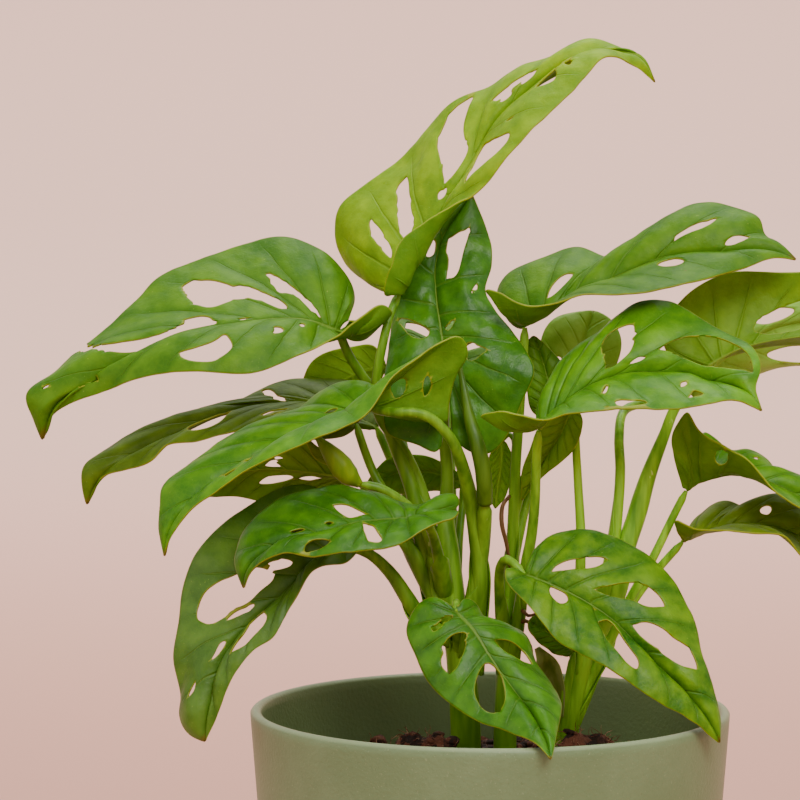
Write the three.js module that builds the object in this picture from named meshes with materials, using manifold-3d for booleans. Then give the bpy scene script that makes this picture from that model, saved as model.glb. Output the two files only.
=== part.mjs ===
// A potted monstera with holed leaves, in millimetres with +Z up. The origin is the middle of the
// pot's foot, and +X is to the right of someone who looks at the plant from the front, along +Y.
import * as THREE from 'three';
import ManifoldModule from 'manifold-3d';

const wasm = await ManifoldModule();
wasm.setup();
const { Manifold, Mesh: SolidMesh } = wasm;

// Driving dimensions of the pot
const POT_DIAMETER = 140;
const POT_HEIGHT = 130;
const POT_FOOT_DIAMETER = 112;
const POT_WALL = 3.5;
const POT_FLOOR = 6;
const POT_ROUNDS = 48;

// Driving dimensions of the planting
const FIT_GAP = 0.35;
const SOIL_BELOW_RIM = 21;
const SOIL_MOUND = 8;
const SOIL_ROUNDS = 36;
const STEM_FOOT_DEPTH = 40;
const FOOT_FLARE = 0.3;

// Driving dimensions of the leaves
const BLADE_THICKNESS = 0.7;
const MIDRIB_DEPTH = 0.9;
const SEAT_GAP = 0.3;
const SMALLEST_HOLE = 2;
const SMALLEST_SPACING = 0.5;
const SLIVER = 0.02;
const STRIP_INSIDE = 0.93;
const PETIOLE_SIDES = 6;
const FOOT_SIDES = 24;

// The eye that the leaf and petiole points are written from: x and z are what it sees on the
// pot's middle plane, and y is how far behind that plane the point really lies.
const EYE = new THREE.Vector3(-26.2, -997.2, 295);

const DARK_GREEN = 0x2f5a25;
const MID_GREEN = 0x4b7f2c;
const BRIGHT_GREEN = 0x7fa832;
const UNDERSIDE_OLIVE = 0x7d8a45;
const PETIOLE_GREEN = 0x8fae3e;
const SPEAR_BROWN = 0x7b6a33;
const SHEATH_CREAM = 0xcfc08a;
const POT_SAGE = 0x8f9d8a;
const SOIL_BROWN = 0x3a2c20;

function fromEye(x, y, z) {
  const stretch = 1 - y / EYE.y;
  return new THREE.Vector3(x, 0, z).sub(EYE).multiplyScalar(stretch).add(EYE);
}

function toEye(point) {
  const stretch = 1 - point.y / EYE.y;
  return point.clone().sub(EYE).divideScalar(stretch).add(EYE);
}

function splineThrough(points) {
  const placed = points.map(([x, y, z]) => fromEye(x, y, z));
  return new THREE.CatmullRomCurve3(placed, false, 'centripetal');
}

function smooth(from, to, value) {
  const t = THREE.MathUtils.clamp((value - from) / (to - from), 0, 1);
  return t * t * (3 - 2 * t);
}

// One half of a blade as a surface: s runs along the margin from the sinus to the tip, and v
// from the midrib out to the margin. sign is 1 for the right half and -1 for the left.
class HalfBlade {
  constructor(leaf, side) {
    this.sign = side === 'right' ? 1 : -1;
    this.rib = splineThrough(leaf.rib);
    this.margin = splineThrough([...leaf[side], leaf.rib[leaf.rib.length - 1]]);
    this.pull = leaf.pull[side === 'right' ? 0 : 1];
    this.arch = leaf.arch[side === 'right' ? 0 : 1];
  }

  ribAt(s) {
    const along = 0.12 * s + 0.88 * s ** this.pull;
    return this.rib.getPointAt(Math.min(along, 1));
  }

  at(s, v) {
    const sAt = THREE.MathUtils.clamp(s, 0, 1);
    const inner = this.ribAt(sAt);
    const outer = this.margin.getPointAt(sAt);
    const across = outer.clone().sub(inner);
    const step = 0.01;
    const before = Math.max(sAt - step, 0);
    const after = Math.min(sAt + step, 1);
    const along = this.margin.getPointAt(after).sub(this.margin.getPointAt(before));
    along.add(this.ribAt(after).sub(this.ribAt(before)));
    const up = across.clone().cross(along).multiplyScalar(this.sign);
    if (up.lengthSq() > 1e-9) {
      up.normalize();
    }
    const [baseArch, restArch] = this.arch;
    const fade = Math.min(1, across.length() / 12);
    const lift = THREE.MathUtils.lerp(baseArch, restArch, smooth(0.15, 0.5, sAt)) * fade;
    return inner.addScaledVector(across, v).addScaledVector(up, lift * 4 * v * (1 - v));
  }

  // The s and v under a point that the eye sees
  find(x, z) {
    if (!this.table) {
      this.table = [];
      for (let i = 1; i < 50; i += 1) {
        for (let j = 0; j <= 22; j += 1) {
          const s = i / 50;
          const v = j / 20;
          const seen = toEye(this.at(s, v));
          this.table.push([s, v, seen.x, seen.z]);
        }
      }
    }
    const miss = (entry) => Math.hypot(entry[2] - x, entry[3] - z);
    let best = this.table.reduce((a, b) => (miss(b) < miss(a) ? b : a));
    let reach = 0.02;
    while (reach > 0.002) {
      const [s0, v0] = best;
      for (const ds of [-reach, 0, reach]) {
        for (const dv of [-reach, 0, reach]) {
          const seen = toEye(this.at(s0 + ds, v0 + dv));
          const entry = [s0 + ds, v0 + dv, seen.x, seen.z];
          best = miss(entry) < miss(best) ? entry : best;
        }
      }
      reach = best[0] === s0 && best[1] === v0 ? reach / 2 : reach;
    }
    return [best[0], best[1]];
  }
}

// The outline of a hole that no eye in front sees, from its s, its two v and its width along s
function hiddenHoleOutline([s, v0, v1, width]) {
  return [0, 1, 2, 3, 4, 5, 6, 7].map((k) => {
    const turn = (k * Math.PI) / 4;
    return [s + 0.5 * width * Math.sin(turn), v0 + (v1 - v0) * (0.5 - 0.5 * Math.cos(turn))];
  });
}

// The outline of a hole in s and v: a lens from one seen end to the other. It keeps a strip of
// blade along the margin, unless it runs out through the margin as an open slit.
function holeOutline(half, [x0, z0, x1, z1, width]) {
  const length = Math.hypot(x1 - x0, z1 - z0);
  const sideX = -(z1 - z0) / length;
  const sideZ = (x1 - x0) / length;
  const corners = width > 4 ? 10 : 8;
  const outline = [];
  for (let k = 0; k < corners; k += 1) {
    const turn = (k / corners) * 2 * Math.PI;
    const along = 0.5 - 0.5 * Math.cos(turn);
    const off = 0.5 * width * Math.sin(turn);
    const x = x0 + (x1 - x0) * along + sideX * off;
    const z = z0 + (z1 - z0) * along + sideZ * off;
    outline.push(half.find(x, z));
  }
  const isOpen = outline.filter(([, v]) => v > STRIP_INSIDE).length > 2;
  return isOpen ? outline : outline.map(([s, v]) => [s, Math.min(v, STRIP_INSIDE)]);
}

function isInside(outline, s, v) {
  let inside = false;
  outline.forEach(([s1, v1], k) => {
    const [s0, v0] = outline[(k + outline.length - 1) % outline.length];
    if (v1 > v !== v0 > v && s < ((s0 - s1) * (v - v1)) / (v0 - v1) + s1) {
      inside = !inside;
    }
  });
  return inside;
}

function distanceToOutline(outline, s, v, scaleS, scaleV) {
  let nearest = Infinity;
  outline.forEach(([s1, v1]) => {
    nearest = Math.min(nearest, Math.hypot((s1 - s) * scaleS, (v1 - v) * scaleV));
  });
  return nearest;
}

// Delaunay triangles of plan points, by adding the points one at a time
function triangulate(points) {
  const far = 1e4;
  const all = [...points, [-far, -far], [far, -far], [0, far]];
  const circle = (a, b, c) => {
    const [ax, ay] = all[a];
    const [bx, by] = all[b];
    const [cx, cy] = all[c];
    const d = 2 * (ax * (by - cy) + bx * (cy - ay) + cx * (ay - by));
    const a2 = ax * ax + ay * ay;
    const b2 = bx * bx + by * by;
    const c2 = cx * cx + cy * cy;
    const x = (a2 * (by - cy) + b2 * (cy - ay) + c2 * (ay - by)) / d;
    const y = (a2 * (cx - bx) + b2 * (ax - cx) + c2 * (bx - ax)) / d;
    return { corners: [a, b, c], x, y, r: Math.hypot(ax - x, ay - y) };
  };
  const n = points.length;
  let triangles = [circle(n, n + 1, n + 2)];
  points.forEach(([px, py], index) => {
    const edges = new Map();
    triangles = triangles.filter((t) => {
      if (Math.hypot(t.x - px, t.y - py) > t.r) {
        return true;
      }
      const [a, b, c] = t.corners;
      for (const [from, to] of [[a, b], [b, c], [c, a]]) {
        if (!edges.delete(`${to},${from}`)) {
          edges.set(`${from},${to}`, [from, to]);
        }
      }
      return false;
    });
    for (const [from, to] of edges.values()) {
      triangles.push(circle(from, to, index));
    }
  });
  return triangles.map((t) => t.corners).filter((t) => Math.max(...t) < n);
}

// Numbers of plan points along the rib, two inner rows and the margin of a half blade
function rowsOf(leaf) {
  const size = leaf.detail ?? 1;
  return [
    [0, Math.round(8 * size)],
    [0.36, Math.round(6 * size)],
    [0.7, Math.round(8 * size)],
    [1, Math.round(15 * size)],
  ];
}

const LAST_ROW = 0.96;

// The sheet of a whole blade: vertices on the middle surface and triangles that face its top
function bladeSheet(leaf) {
  const vertices = [];
  const triangles = [];
  const ribIndex = new Map();
  const halves = { right: new HalfBlade(leaf, 'right'), left: new HalfBlade(leaf, 'left') };
  vertices.push(halves.right.at(1, 0));
  for (const [side, half] of Object.entries(halves)) {
    const scaleS = half.margin.getLength();
    const scaleV = half.margin.getPointAt(0.5).distanceTo(half.ribAt(0.5));
    const holes = (leaf.holes?.[side] ?? [])
      .filter((hole) => hole[4] >= SMALLEST_HOLE)
      .map((hole) => holeOutline(half, hole));
    holes.push(...(leaf.hiddenHoles?.[side] ?? []).map(hiddenHoleOutline));
    const plan = [];
    const addPoint = (s, v) => {
      if (plan.every((p) => Math.hypot((p[0] - s) * scaleS, (p[1] - v) * scaleV) > SMALLEST_SPACING)) {
        plan.push([s, v]);
      }
    };
    for (const [v, count] of rowsOf(leaf)) {
      for (let k = 0; k < count; k += 1) {
        const s = (LAST_ROW * k) / (count - 1);
        const isClear = holes.every((outline) => !isInside(outline, s, v)
          && distanceToOutline(outline, s, v, scaleS, scaleV) > (v % 1 === 0 ? 0.8 : 1.8));
        if (v === 0 || isClear) {
          addPoint(s, v);
        }
      }
    }
    for (const outline of holes) {
      for (const [s, v] of outline) {
        addPoint(Math.min(s, LAST_ROW - 0.01), Math.min(Math.max(v, 0.04), 1));
      }
    }
    const index = plan.map(([s, v]) => {
      const key = s.toFixed(4);
      if (v === 0 && ribIndex.has(key)) {
        return ribIndex.get(key);
      }
      vertices.push(half.at(s, v));
      if (v === 0) {
        ribIndex.set(key, vertices.length - 1);
      }
      return vertices.length - 1;
    });
    const nudged = plan.map(([s, v], k) => [
      s * scaleS + 1e-4 * Math.sin(k * 7.1),
      v * scaleV + 1e-4 * Math.cos(k * 3.7),
    ]);
    const face = (a, b, c) => {
      const isRight = half.sign > 0;
      triangles.push(isRight ? [index[b], index[a], index[c]] : [index[a], index[b], index[c]]);
    };
    for (const [a, b, c] of triangulate(nudged)) {
      const s = (plan[a][0] + plan[b][0] + plan[c][0]) / 3;
      const v = (plan[a][1] + plan[b][1] + plan[c][1]) / 3;
      const area = (nudged[b][0] - nudged[a][0]) * (nudged[c][1] - nudged[a][1])
        - (nudged[c][0] - nudged[a][0]) * (nudged[b][1] - nudged[a][1]);
      if (Math.abs(area) > 0.02 && !holes.some((outline) => isInside(outline, s, v))) {
        face(a, area > 0 ? b : c, area > 0 ? c : b);
      }
    }
    const lastRow = plan.map((p, k) => [p[1], k]).filter(([, k]) => plan[k][0] === LAST_ROW);
    lastRow.sort((p, q) => p[0] - q[0]);
    for (let k = 1; k < lastRow.length; k += 1) {
      const inner = index[lastRow[k - 1][1]];
      const outer = index[lastRow[k][1]];
      triangles.push(half.sign > 0 ? [outer, 0, inner] : [inner, 0, outer]);
    }
  }
  return { vertices, triangles, ribVertices: new Set([0, ...ribIndex.values()]), halves };
}

function geometryOf(points, triangles) {
  const geometry = new THREE.BufferGeometry();
  geometry.setAttribute('position', new THREE.Float32BufferAttribute(points.flatMap((p) => [p.x, p.y, p.z]), 3));
  geometry.setIndex(triangles.flat());
  geometry.computeVertexNormals();
  return geometry;
}

// A sheet made solid: a top face, a bottom face split alike, and a wall round every edge
function bladeSolid(leaf) {
  const { vertices, triangles, ribVertices } = bladeSheet(leaf);
  const normals = vertices.map(() => new THREE.Vector3());
  for (const [a, b, c] of triangles) {
    const ab = vertices[b].clone().sub(vertices[a]);
    const ac = vertices[c].clone().sub(vertices[a]);
    const facing = ab.cross(ac);
    for (const corner of [a, b, c]) {
      normals[corner].add(facing);
    }
  }
  normals.forEach((normal) => normal.normalize());
  const half = BLADE_THICKNESS / 2;
  const n = vertices.length;
  const joint = vertices[1];
  const length = joint.distanceTo(vertices[0]);
  const top = vertices.map((p, k) => p.clone().addScaledVector(normals[k], half));
  const bottom = vertices.map((p, k) => {
    const ridge = ribVertices.has(k) ? MIDRIB_DEPTH * smooth(0, 0.2, p.distanceTo(vertices[0]) / length) : 0;
    return p.clone().addScaledVector(normals[k], -half - ridge * Math.min(1, length / 60));
  });
  const faces = [];
  const open = new Map();
  for (const [a, b, c] of triangles) {
    faces.push([a, b, c], [n + a, n + c, n + b]);
    for (const [from, to] of [[a, b], [b, c], [c, a]]) {
      if (!open.delete(`${to},${from}`)) {
        open.set(`${from},${to}`, [from, to]);
      }
    }
  }
  for (const [from, to] of open.values()) {
    faces.push([from, n + from, n + to], [from, n + to, to]);
  }
  return geometryOf([...top, ...bottom], faces);
}

// A round tapered tube along placed points, closed at both ends
function tube(path, radii, steps, sides) {
  const curve = new THREE.CatmullRomCurve3(path, false, 'centripetal');
  const points = [];
  const triangles = [];
  let aside = new THREE.Vector3(1, 0, 0);
  for (let i = 0; i <= steps; i += 1) {
    const t = i / steps;
    const centre = curve.getPointAt(t);
    const tangent = curve.getTangentAt(t);
    aside.addScaledVector(tangent, -aside.dot(tangent)).normalize();
    const other = tangent.clone().cross(aside);
    const place = t * (radii.length - 1);
    const low = Math.min(Math.floor(place), radii.length - 2);
    const radius = THREE.MathUtils.lerp(radii[low], radii[low + 1], place - low);
    for (let k = 0; k < sides; k += 1) {
      const turn = (k / sides) * 2 * Math.PI;
      const out = aside.clone().multiplyScalar(Math.cos(turn)).addScaledVector(other, Math.sin(turn));
      points.push(centre.clone().addScaledVector(out, radius));
    }
  }
  for (let i = 0; i < steps; i += 1) {
    for (let k = 0; k < sides; k += 1) {
      const a = i * sides + k;
      const b = i * sides + ((k + 1) % sides);
      triangles.push([a, b, b + sides], [a, b + sides, a + sides]);
    }
  }
  const start = points.push(curve.getPointAt(0)) - 1;
  const end = points.push(curve.getPointAt(1)) - 1;
  for (let k = 0; k < sides; k += 1) {
    const next = (k + 1) % sides;
    triangles.push([start, next, k], [end, steps * sides + k, steps * sides + next]);
  }
  return geometryOf(points, triangles);
}

function solidOf(geometry) {
  const vertProperties = new Float32Array(geometry.attributes.position.array);
  const triVerts = new Uint32Array(geometry.index.array);
  const mesh = new SolidMesh({ numProp: 3, vertProperties, triVerts });
  mesh.merge();
  return new Manifold(mesh);
}

function geometryFrom(solid) {
  const { vertProperties, triVerts, numProp } = solid.getMesh();
  const points = [];
  for (let k = 0; k < vertProperties.length; k += numProp) {
    points.push(new THREE.Vector3(vertProperties[k], vertProperties[k + 1], vertProperties[k + 2]));
  }
  const triangles = [];
  for (let k = 0; k < triVerts.length; k += 3) {
    triangles.push([triVerts[k], triVerts[k + 1], triVerts[k + 2]]);
  }
  return geometryOf(points, triangles);
}

function lathe(profile, rounds) {
  const geometry = new THREE.LatheGeometry(profile.map(([r, z]) => new THREE.Vector2(r, z)), rounds);
  geometry.rotateX(Math.PI / 2);
  return solidOf(geometry);
}

// Every leaf: rib and margins run from the joint with the petiole to the tip, which is the rib's
// last point. right is the right-hand side of someone who looks at the top with the tip pointing
// away. pull is how late each side's margin follows the rib, arch the bulge of each side in mm at
// the basal lobe and beyond it, and a hole is [x, z] of its two ends and its width, as seen.
const LEAVES = {
  leaf_far_left: {
    colour: MID_GREEN,
    rib: [[-44, -4, 240], [-54, -7, 243.5], [-74, -12, 242.5], [-93, -14, 238.3], [-109, -14, 227],
      [-126, -12, 219], [-130, -10, 208]],
    right: [[-41, -2, 243], [-39.5, 6, 250], [-42, 10, 256], [-48.5, 13, 263.5], [-60, 15, 267.3],
      [-78, 14, 262.5], [-95, 10, 256.5], [-103, 5, 248.5], [-112, 0, 239.5], [-120, -3, 234],
      [-127, -6, 228], [-134.5, -9, 221.5], [-132.5, -10, 214.5]],
    left: [[-41, -5, 243], [-31, -8, 243], [-28.5, -11, 245.5], [-31.5, -13, 248], [-38, -15, 244],
      [-47, -17, 237.5], [-56, -22, 232.5], [-68, -27, 228], [-82, -27, 228.3], [-97, -24, 227.3],
      [-110, -19, 223.5], [-122, -14, 219.2], [-128, -11, 214.5]],
    pull: [4.2, 3.2],
    arch: [[2, 3], [-5, 3]],
    detail: 1.15,
    holes: {
      right: [[-65, 256.5, -48.8, 243.3, 2.6], [-89.5, 252, -59, 247.5, 7.5],
        [-79, 241.8, -121, 235, 4.6], [-124, 224.3, -113, 225.4, 1.6]],
      left: [[-91, 233.5, -75.5, 237, 6.5], [-62.5, 240, -60, 240, 1.6], [-55.5, 241.5, -53.5, 241.5, 1]],
    },
  },
  leaf_top: {
    colour: BRIGHT_GREEN,
    rib: [[-26.5, -2, 251], [-21, -1, 262], [-14, 0, 275], [-6, 2, 288], [0, 4, 299], [10, 6, 308.5],
      [22, 8, 315.5], [34, 8, 319.8], [42, 8, 319.3], [47.5, 8, 311.4]],
    right: [[-26, -4, 251.5], [-30.7, -8, 250.5], [-29.5, -11, 258], [-25.5, -12, 266.5], [-19, -12, 270.8],
      [-11, -12, 275.8], [-3, -12, 281.3], [5, -13, 290], [15, -11, 301], [25, -6, 311.5], [34, 0, 318.7],
      [42, 5, 316.2]],
    left: [[-27.5, 0, 252], [-30.5, 6, 254.4], [-36, 12, 254.5], [-41, 16, 258], [-44.8, 18, 267],
      [-43.5, 18, 275.5], [-38, 18, 280.8], [-25, 18, 291], [-14.5, 17, 302.5], [-9, 16, 306.8],
      [0, 15, 310.3], [8, 14, 316.3], [17, 12, 319.5], [28.5, 10, 324], [37, 9, 321.5], [44, 8.5, 318]],
    pull: [2.2, 2.6],
    arch: [[-5, 3], [2, 3]],
    detail: 1.15,
    holes: {
      right: [[-7, 283.5, 6, 296.5, 5], [4.5, 299.8, 7.2, 302, 1.6], [13, 310.3, 24.5, 316.7, 1.7]],
      left: [[-35, 271.5, -28.5, 261, 2.6], [-25, 284, -24, 267, 3.8], [-15.5, 278, -12.5, 280.8, 1.8],
        [-13, 283.5, -6, 307, 8], [0.5, 306.5, 12.5, 315.3, 3.6]],
    },
  },
  leaf_centre: {
    colour: DARK_GREEN,
    rib: [[-13, -7, 229], [-14, -3, 238], [-15.7, 3, 250], [-16, 8, 259], [-13.5, 12, 268], [-9, 14, 274.5],
      [-5.5, 15, 280]],
    right: [[-11, -8, 227], [-11.5, -10, 216], [-11, -11, 209], [-5, -12, 204.5], [0, -12, 204.5],
      [5, -12, 210], [9.5, -12, 220], [12.8, -11, 228], [11, -9, 233], [6, -4, 240.5], [1, 0, 246.5],
      [-1.6, 3, 251.5], [0.2, 7, 258.5], [0.3, 10, 264], [-1.4, 12, 270], [-4, 14, 276.5]],
    left: [[-14.5, -8, 227], [-13.5, -10, 214], [-15.5, -12, 204.7], [-21, -12, 206.8], [-29.8, -12, 210.5],
      [-31, -10, 216], [-30.7, -6, 224], [-29.5, 0, 236], [-28, 5, 246], [-25.5, 9, 255], [-20, 12, 266],
      [-12, 14, 274.5]],
    pull: [3.6, 3],
    arch: [[2, 2], [2, 2]],
    holes: {
      right: [[-12.5, 256.5, -6.8, 270.5, 4.6], [-6, 252.5, -3.7, 252.5, 2.2], [-13, 241.5, -10, 242, 2.2],
        [-6.7, 234, 1, 234, 4.5]],
      left: [[-18.7, 262, -15.9, 266, 2.2], [-26.5, 241, -17.5, 241, 5.5], [-28, 230.2, -24, 230.2, 2.2]],
    },
  },
  leaf_upper_right: {
    colour: MID_GREEN,
    rib: [[10, 0, 241], [18, 2, 247], [26, 3, 252.5], [33, 3, 254.5], [42, 3, 258.3], [50, 3, 261.5],
      [60, 3, 262.5], [72, 2, 263], [82, 2, 262.5], [88.6, 2, 260.5]],
    right: [[8.5, -3, 243], [2, -6, 248], [-1.5, -8, 252.3], [3, -10, 251.5], [9, -12, 248.3],
      [15, -13, 247], [21, -14, 248], [28, -15, 250.7], [40, -16, 251.2], [50, -15, 252], [60, -12, 254.3],
      [68, -8, 257], [76, -4, 259], [83, -1, 261]],
    left: [[9, 4, 243], [3, 12, 247], [2, 16, 252], [6, 19, 257.5], [15, 20, 261], [25, 20, 264],
      [33, 18, 261.5], [38, 16, 260.5], [44, 16, 266], [52, 16, 271.7], [56, 15, 275.3], [64, 14, 277.2],
      [72, 12, 275.5], [77.5, 10, 273], [79.5, 8, 267.2], [84, 6, 264.8]],
    pull: [3, 3],
    arch: [[-4, 2], [2, 3]],
    holes: {
      right: [[48, 260, 55.5, 259.8, 2.2]],
      left: [[16.5, 249.2, 23.5, 256, 2.6], [53, 266.3, 65.5, 273, 3.6], [67.5, 266.4, 74.5, 266.4, 2.6]],
    },
  },
  leaf_right_bright: {
    colour: BRIGHT_GREEN,
    rib: [[14, -22, 211], [21, -22, 219], [29, -21, 224.5], [37, -20, 227.5], [46, -20, 228.3],
      [54, -21, 227.7], [60, -22, 225.8], [67, -24, 224], [74, -27, 222.5], [79, -30, 216.5]],
    right: [[12, -24, 211.5], [3, -27, 214], [-3, -30, 215.8], [2, -33, 216.6], [9, -35, 215.6],
      [15, -36, 214.7], [21, -37, 215.7], [31, -38, 216.8], [43, -38, 217.5], [54, -38, 217.4],
      [64, -37, 218.2], [72, -34, 219.7], [76, -32, 218.2]],
    left: [[14, -18, 214], [16.5, -15, 218], [17.7, -13, 223.5], [19.5, -11, 229.5], [24, -9, 234.3],
      [31, -7, 239.5], [36, -6, 244], [41, -5, 247.6], [47, -5, 248.8], [54, -7, 247.7], [61, -10, 243.5],
      [68, -13, 239.5], [74, -17, 236.5], [77.8, -21, 232], [78.3, -25, 228], [76.8, -28, 223.5]],
    pull: [3, 2.6],
    arch: [[-4, 2], [2, 3]],
    holes: {
      right: [[36.5, 219, 45, 219.6, 1.7], [58, 221, 63, 221, 1.8], [55.5, 224, 58.5, 224, 1.8]],
      left: [[32.5, 231, 41, 240.5, 7], [50.5, 235.5, 53.5, 235.5, 1.8], [53, 233.5, 76, 233.5, 11]],
    },
  },
  leaf_far_right: {
    colour: UNDERSIDE_OLIVE,
    rib: [[63, 4, 229.5], [72, 6, 234.5], [84, 8, 237.5], [98, 9, 238.5], [112, 8, 236], [126, 4, 228]],
    right: [[60, 4, 229], [52, 4, 233], [50, 6, 240], [54, 8, 247.5], [61, 10, 253.5], [70, 12, 257.2],
      [84, 13, 257], [98, 13, 256.5], [110, 12, 252], [120, 9, 243]],
    left: [[62, 8, 228.5], [61, 16, 229], [66, 28, 232], [80, 33, 235], [96, 30, 236], [112, 20, 234]],
    pull: [3, 2.6],
    arch: [[2, 3], [2, 3]],
    holes: { right: [[76.3, 240.5, 104, 249, 8]], left: [] },
  },
  leaf_left_back: {
    colour: DARK_GREEN,
    rib: [[-39, 2, 213], [-47, 3, 218.5], [-60, 4, 219.5], [-70, 4, 217.7], [-80, 3, 215], [-90, 2, 210],
      [-100, 1, 204.3], [-109, 0, 199.8], [-114.5, 0, 196], [-117.3, 0, 189.2]],
    right: [[-37, 5, 215], [-35, 10, 221], [-41, 14, 225.5], [-50, 16, 226.3], [-60, 16, 225.3],
      [-70, 14, 221.5], [-79, 11, 217.6], [-84, 10, 217.2], [-90, 9, 213.5], [-96, 9, 213.2],
      [-105, 7, 210.3], [-112, 5, 205.3], [-118, 2, 200.5], [-118.3, 0, 193.5]],
    left: [[-40, 0, 211], [-44, -4, 209], [-53, -7, 209], [-62, -8, 210.5], [-70, -8, 211.5],
      [-78, -8, 210.2], [-86, -8, 207.5], [-94, -7, 206.2], [-99, -6, 202.3], [-106, -4, 199.8],
      [-112, -2, 197.3], [-115.5, 0, 192.5]],
    pull: [3, 2.6],
    arch: [[2, 2], [2, 2]],
    holes: {
      right: [[-66.3, 222, -60, 220.6, 2.2]],
      left: [[-66, 216.2, -59.5, 216.2, 2.2], [-90, 209.6, -76, 213.5, 1.8]],
    },
  },
  leaf_left_front: {
    colour: BRIGHT_GREEN,
    rib: [[-34.5, -20, 217.3], [-43, -21, 216], [-52, -23, 212.5], [-61, -25, 207.5], [-70, -27, 202],
      [-79, -29, 195.5], [-87, -31, 189], [-92.5, -32, 182], [-94.7, -32, 174]],
    right: [[-34, -18, 219], [-31.5, -14, 222.5], [-36, -10, 225.2], [-42, -8, 225], [-49, -8, 222.2],
      [-56, -8, 218], [-63, -9, 215], [-70, -11, 212], [-80, -14, 207], [-88, -19, 201], [-95, -24, 194.5],
      [-95.8, -27, 189], [-96.3, -30, 182]],
    left: [[-31, -20, 217.6], [-22, -19, 217.5], [-16, -18, 215], [-12.6, -18, 213.3], [-12, -18, 219],
      [-10, -19, 227], [-6.5, -20, 233], [-7.3, -21, 237], [-9.5, -22, 238.8], [-15, -24, 237],
      [-21, -27, 233], [-28, -30, 227], [-32, -32, 220.5], [-36, -34, 215], [-42, -35, 212],
      [-50, -37, 209.5], [-60, -38, 205.3], [-70, -38, 199.5], [-79, -37, 193], [-86, -36, 189],
      [-91.5, -34, 182.5], [-94, -33, 177.5]],
    pull: [3, 5],
    arch: [[2, 2], [-2, 2]],
    detail: 1.15,
    holes: {
      right: [[-78.5, 197, -75, 198.5, 2.2], [-71.5, 203.2, -67.5, 204, 2.4], [-56, 213.6, -52, 214.8, 1.5],
        [-47.5, 216.2, -44.5, 217, 1.4]],
      left: [[-29, 221, -24.6, 225.5, 3.6], [-19, 219, -18, 228, 2.6]],
    },
  },
  leaf_left_under: {
    colour: UNDERSIDE_OLIVE,
    rib: [[-39, -2, 196.5], [-48, 0, 198.5], [-58, 2, 199.8], [-68, 3, 200], [-78, 2, 197], [-86, 0, 191.5]],
    right: [[-41, 2, 195], [-46, 4, 194.3], [-52, 7, 192.8], [-60, 9, 191.2], [-68, 9, 191], [-78, 6, 192]],
    left: [[-40, -3, 198], [-46.5, -4, 200.3], [-51, -5, 203.5], [-53, -5, 208], [-57, -4, 212],
      [-66, -3, 211.5], [-76, -1, 206], [-83, 0, 198.5]],
    pull: [2.4, 2.4],
    arch: [[1, 1], [1, 1]],
    detail: 0.75,
    holes: {
      right: [[-67, 196.4, -57, 196.4, 2.8], [-56, 197.1, -48.5, 196.8, 1.6]],
      left: [[-66, 202.6, -61, 202.6, 3]],
    },
  },
  leaf_front_shiny: {
    colour: DARK_GREEN,
    rib: [[-20, -30, 185.8], [-28, -32, 185.2], [-38, -34, 184.3], [-48, -36, 181.6], [-58, -37, 179],
      [-65, -37, 176], [-70, -36, 171], [-71.7, -35, 164.7]],
    right: [[-18.5, -28, 187], [-12, -26, 187.3], [-8.9, -25, 189.5], [-9.5, -24, 192.3], [-13, -23, 193],
      [-18, -22, 190.8], [-22, -21, 188.8], [-30, -20, 191.5], [-37, -19, 194.3], [-44, -19, 195.3],
      [-52, -19, 193.2], [-62, -21, 190.5], [-69, -24, 185.5], [-73, -28, 178.5], [-73.8, -32, 171.5]],
    left: [[-18.5, -31, 185.5], [-12, -33, 187], [-9.3, -34, 188.3], [-10.5, -37, 186], [-15, -39, 184.3],
      [-22, -42, 180.2], [-30, -44, 177], [-40, -46, 175.4], [-52, -46, 174.5], [-58.5, -45, 175.6],
      [-65, -42, 172.8], [-69.5, -38, 169]],
    pull: [3, 3],
    arch: [[1, 2], [1, 2]],
    holes: {
      right: [[-46, 188.5, -36, 187.5, 3.2], [-58, 182.4, -54.5, 182.4, 2.2], [-48.5, 184.4, -45.5, 184.4, 1]],
      left: [[-37.3, 180.8, -31.5, 181, 4.6], [-54, 177.4, -46.6, 177.6, 4]],
    },
  },
  leaf_lower_left: {
    colour: MID_GREEN,
    rib: [[-42, -14, 177.5], [-50, -17, 173.5], [-57, -20, 166.5], [-63.5, -22, 160.5], [-70, -24, 155],
      [-76, -26, 147.5], [-79.5, -28, 140], [-81.5, -30, 131], [-83, -30, 119.7]],
    right: [[-43, -12, 180], [-45, -8, 188], [-51, -4, 194.3], [-57, -3, 195], [-64, -3, 192.8],
      [-72, -5, 188], [-80, -8, 181.5], [-86, -11, 174], [-89.7, -14, 164.5], [-90.6, -17, 156],
      [-92, -20, 144], [-90.2, -23, 134], [-91, -25, 128], [-88, -28, 122.3]],
    left: [[-41, -15, 175.5], [-38.7, -17, 176], [-42, -20, 172.2], [-50, -23, 170.6], [-55, -26, 165.5],
      [-58.5, -28, 157.5], [-62.5, -30, 151], [-69, -31, 147], [-73.5, -32, 141], [-78, -32, 131.5],
      [-81.8, -31, 123]],
    pull: [3, 2.4],
    arch: [[3, 3], [2, 2]],
    holes: {
      right: [[-86, 157, -64, 169, 9], [-65, 171.6, -57, 171.6, 3], [-77, 156, -68.5, 160, 2.6],
        [-81, 144, -77, 149, 3], [-88, 133.5, -86.3, 137.5, 2]],
      left: [[-75.5, 145.8, -65.3, 157.2, 3.2], [-81.9, 131.5, -80.4, 137.3, 1.4]],
    },
  },
  leaf_low_front: {
    colour: MID_GREEN,
    rib: [[-10, -42, 158], [-5, -45, 153], [0, -48, 145], [6, -52, 136.5], [12, -58, 128.5], [16, -66, 121],
      [18, -74, 114.3]],
    right: [[-11.5, -42, 159.7], [-16.5, -40, 162.3], [-21.5, -40, 159.5], [-24.3, -42, 153],
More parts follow.
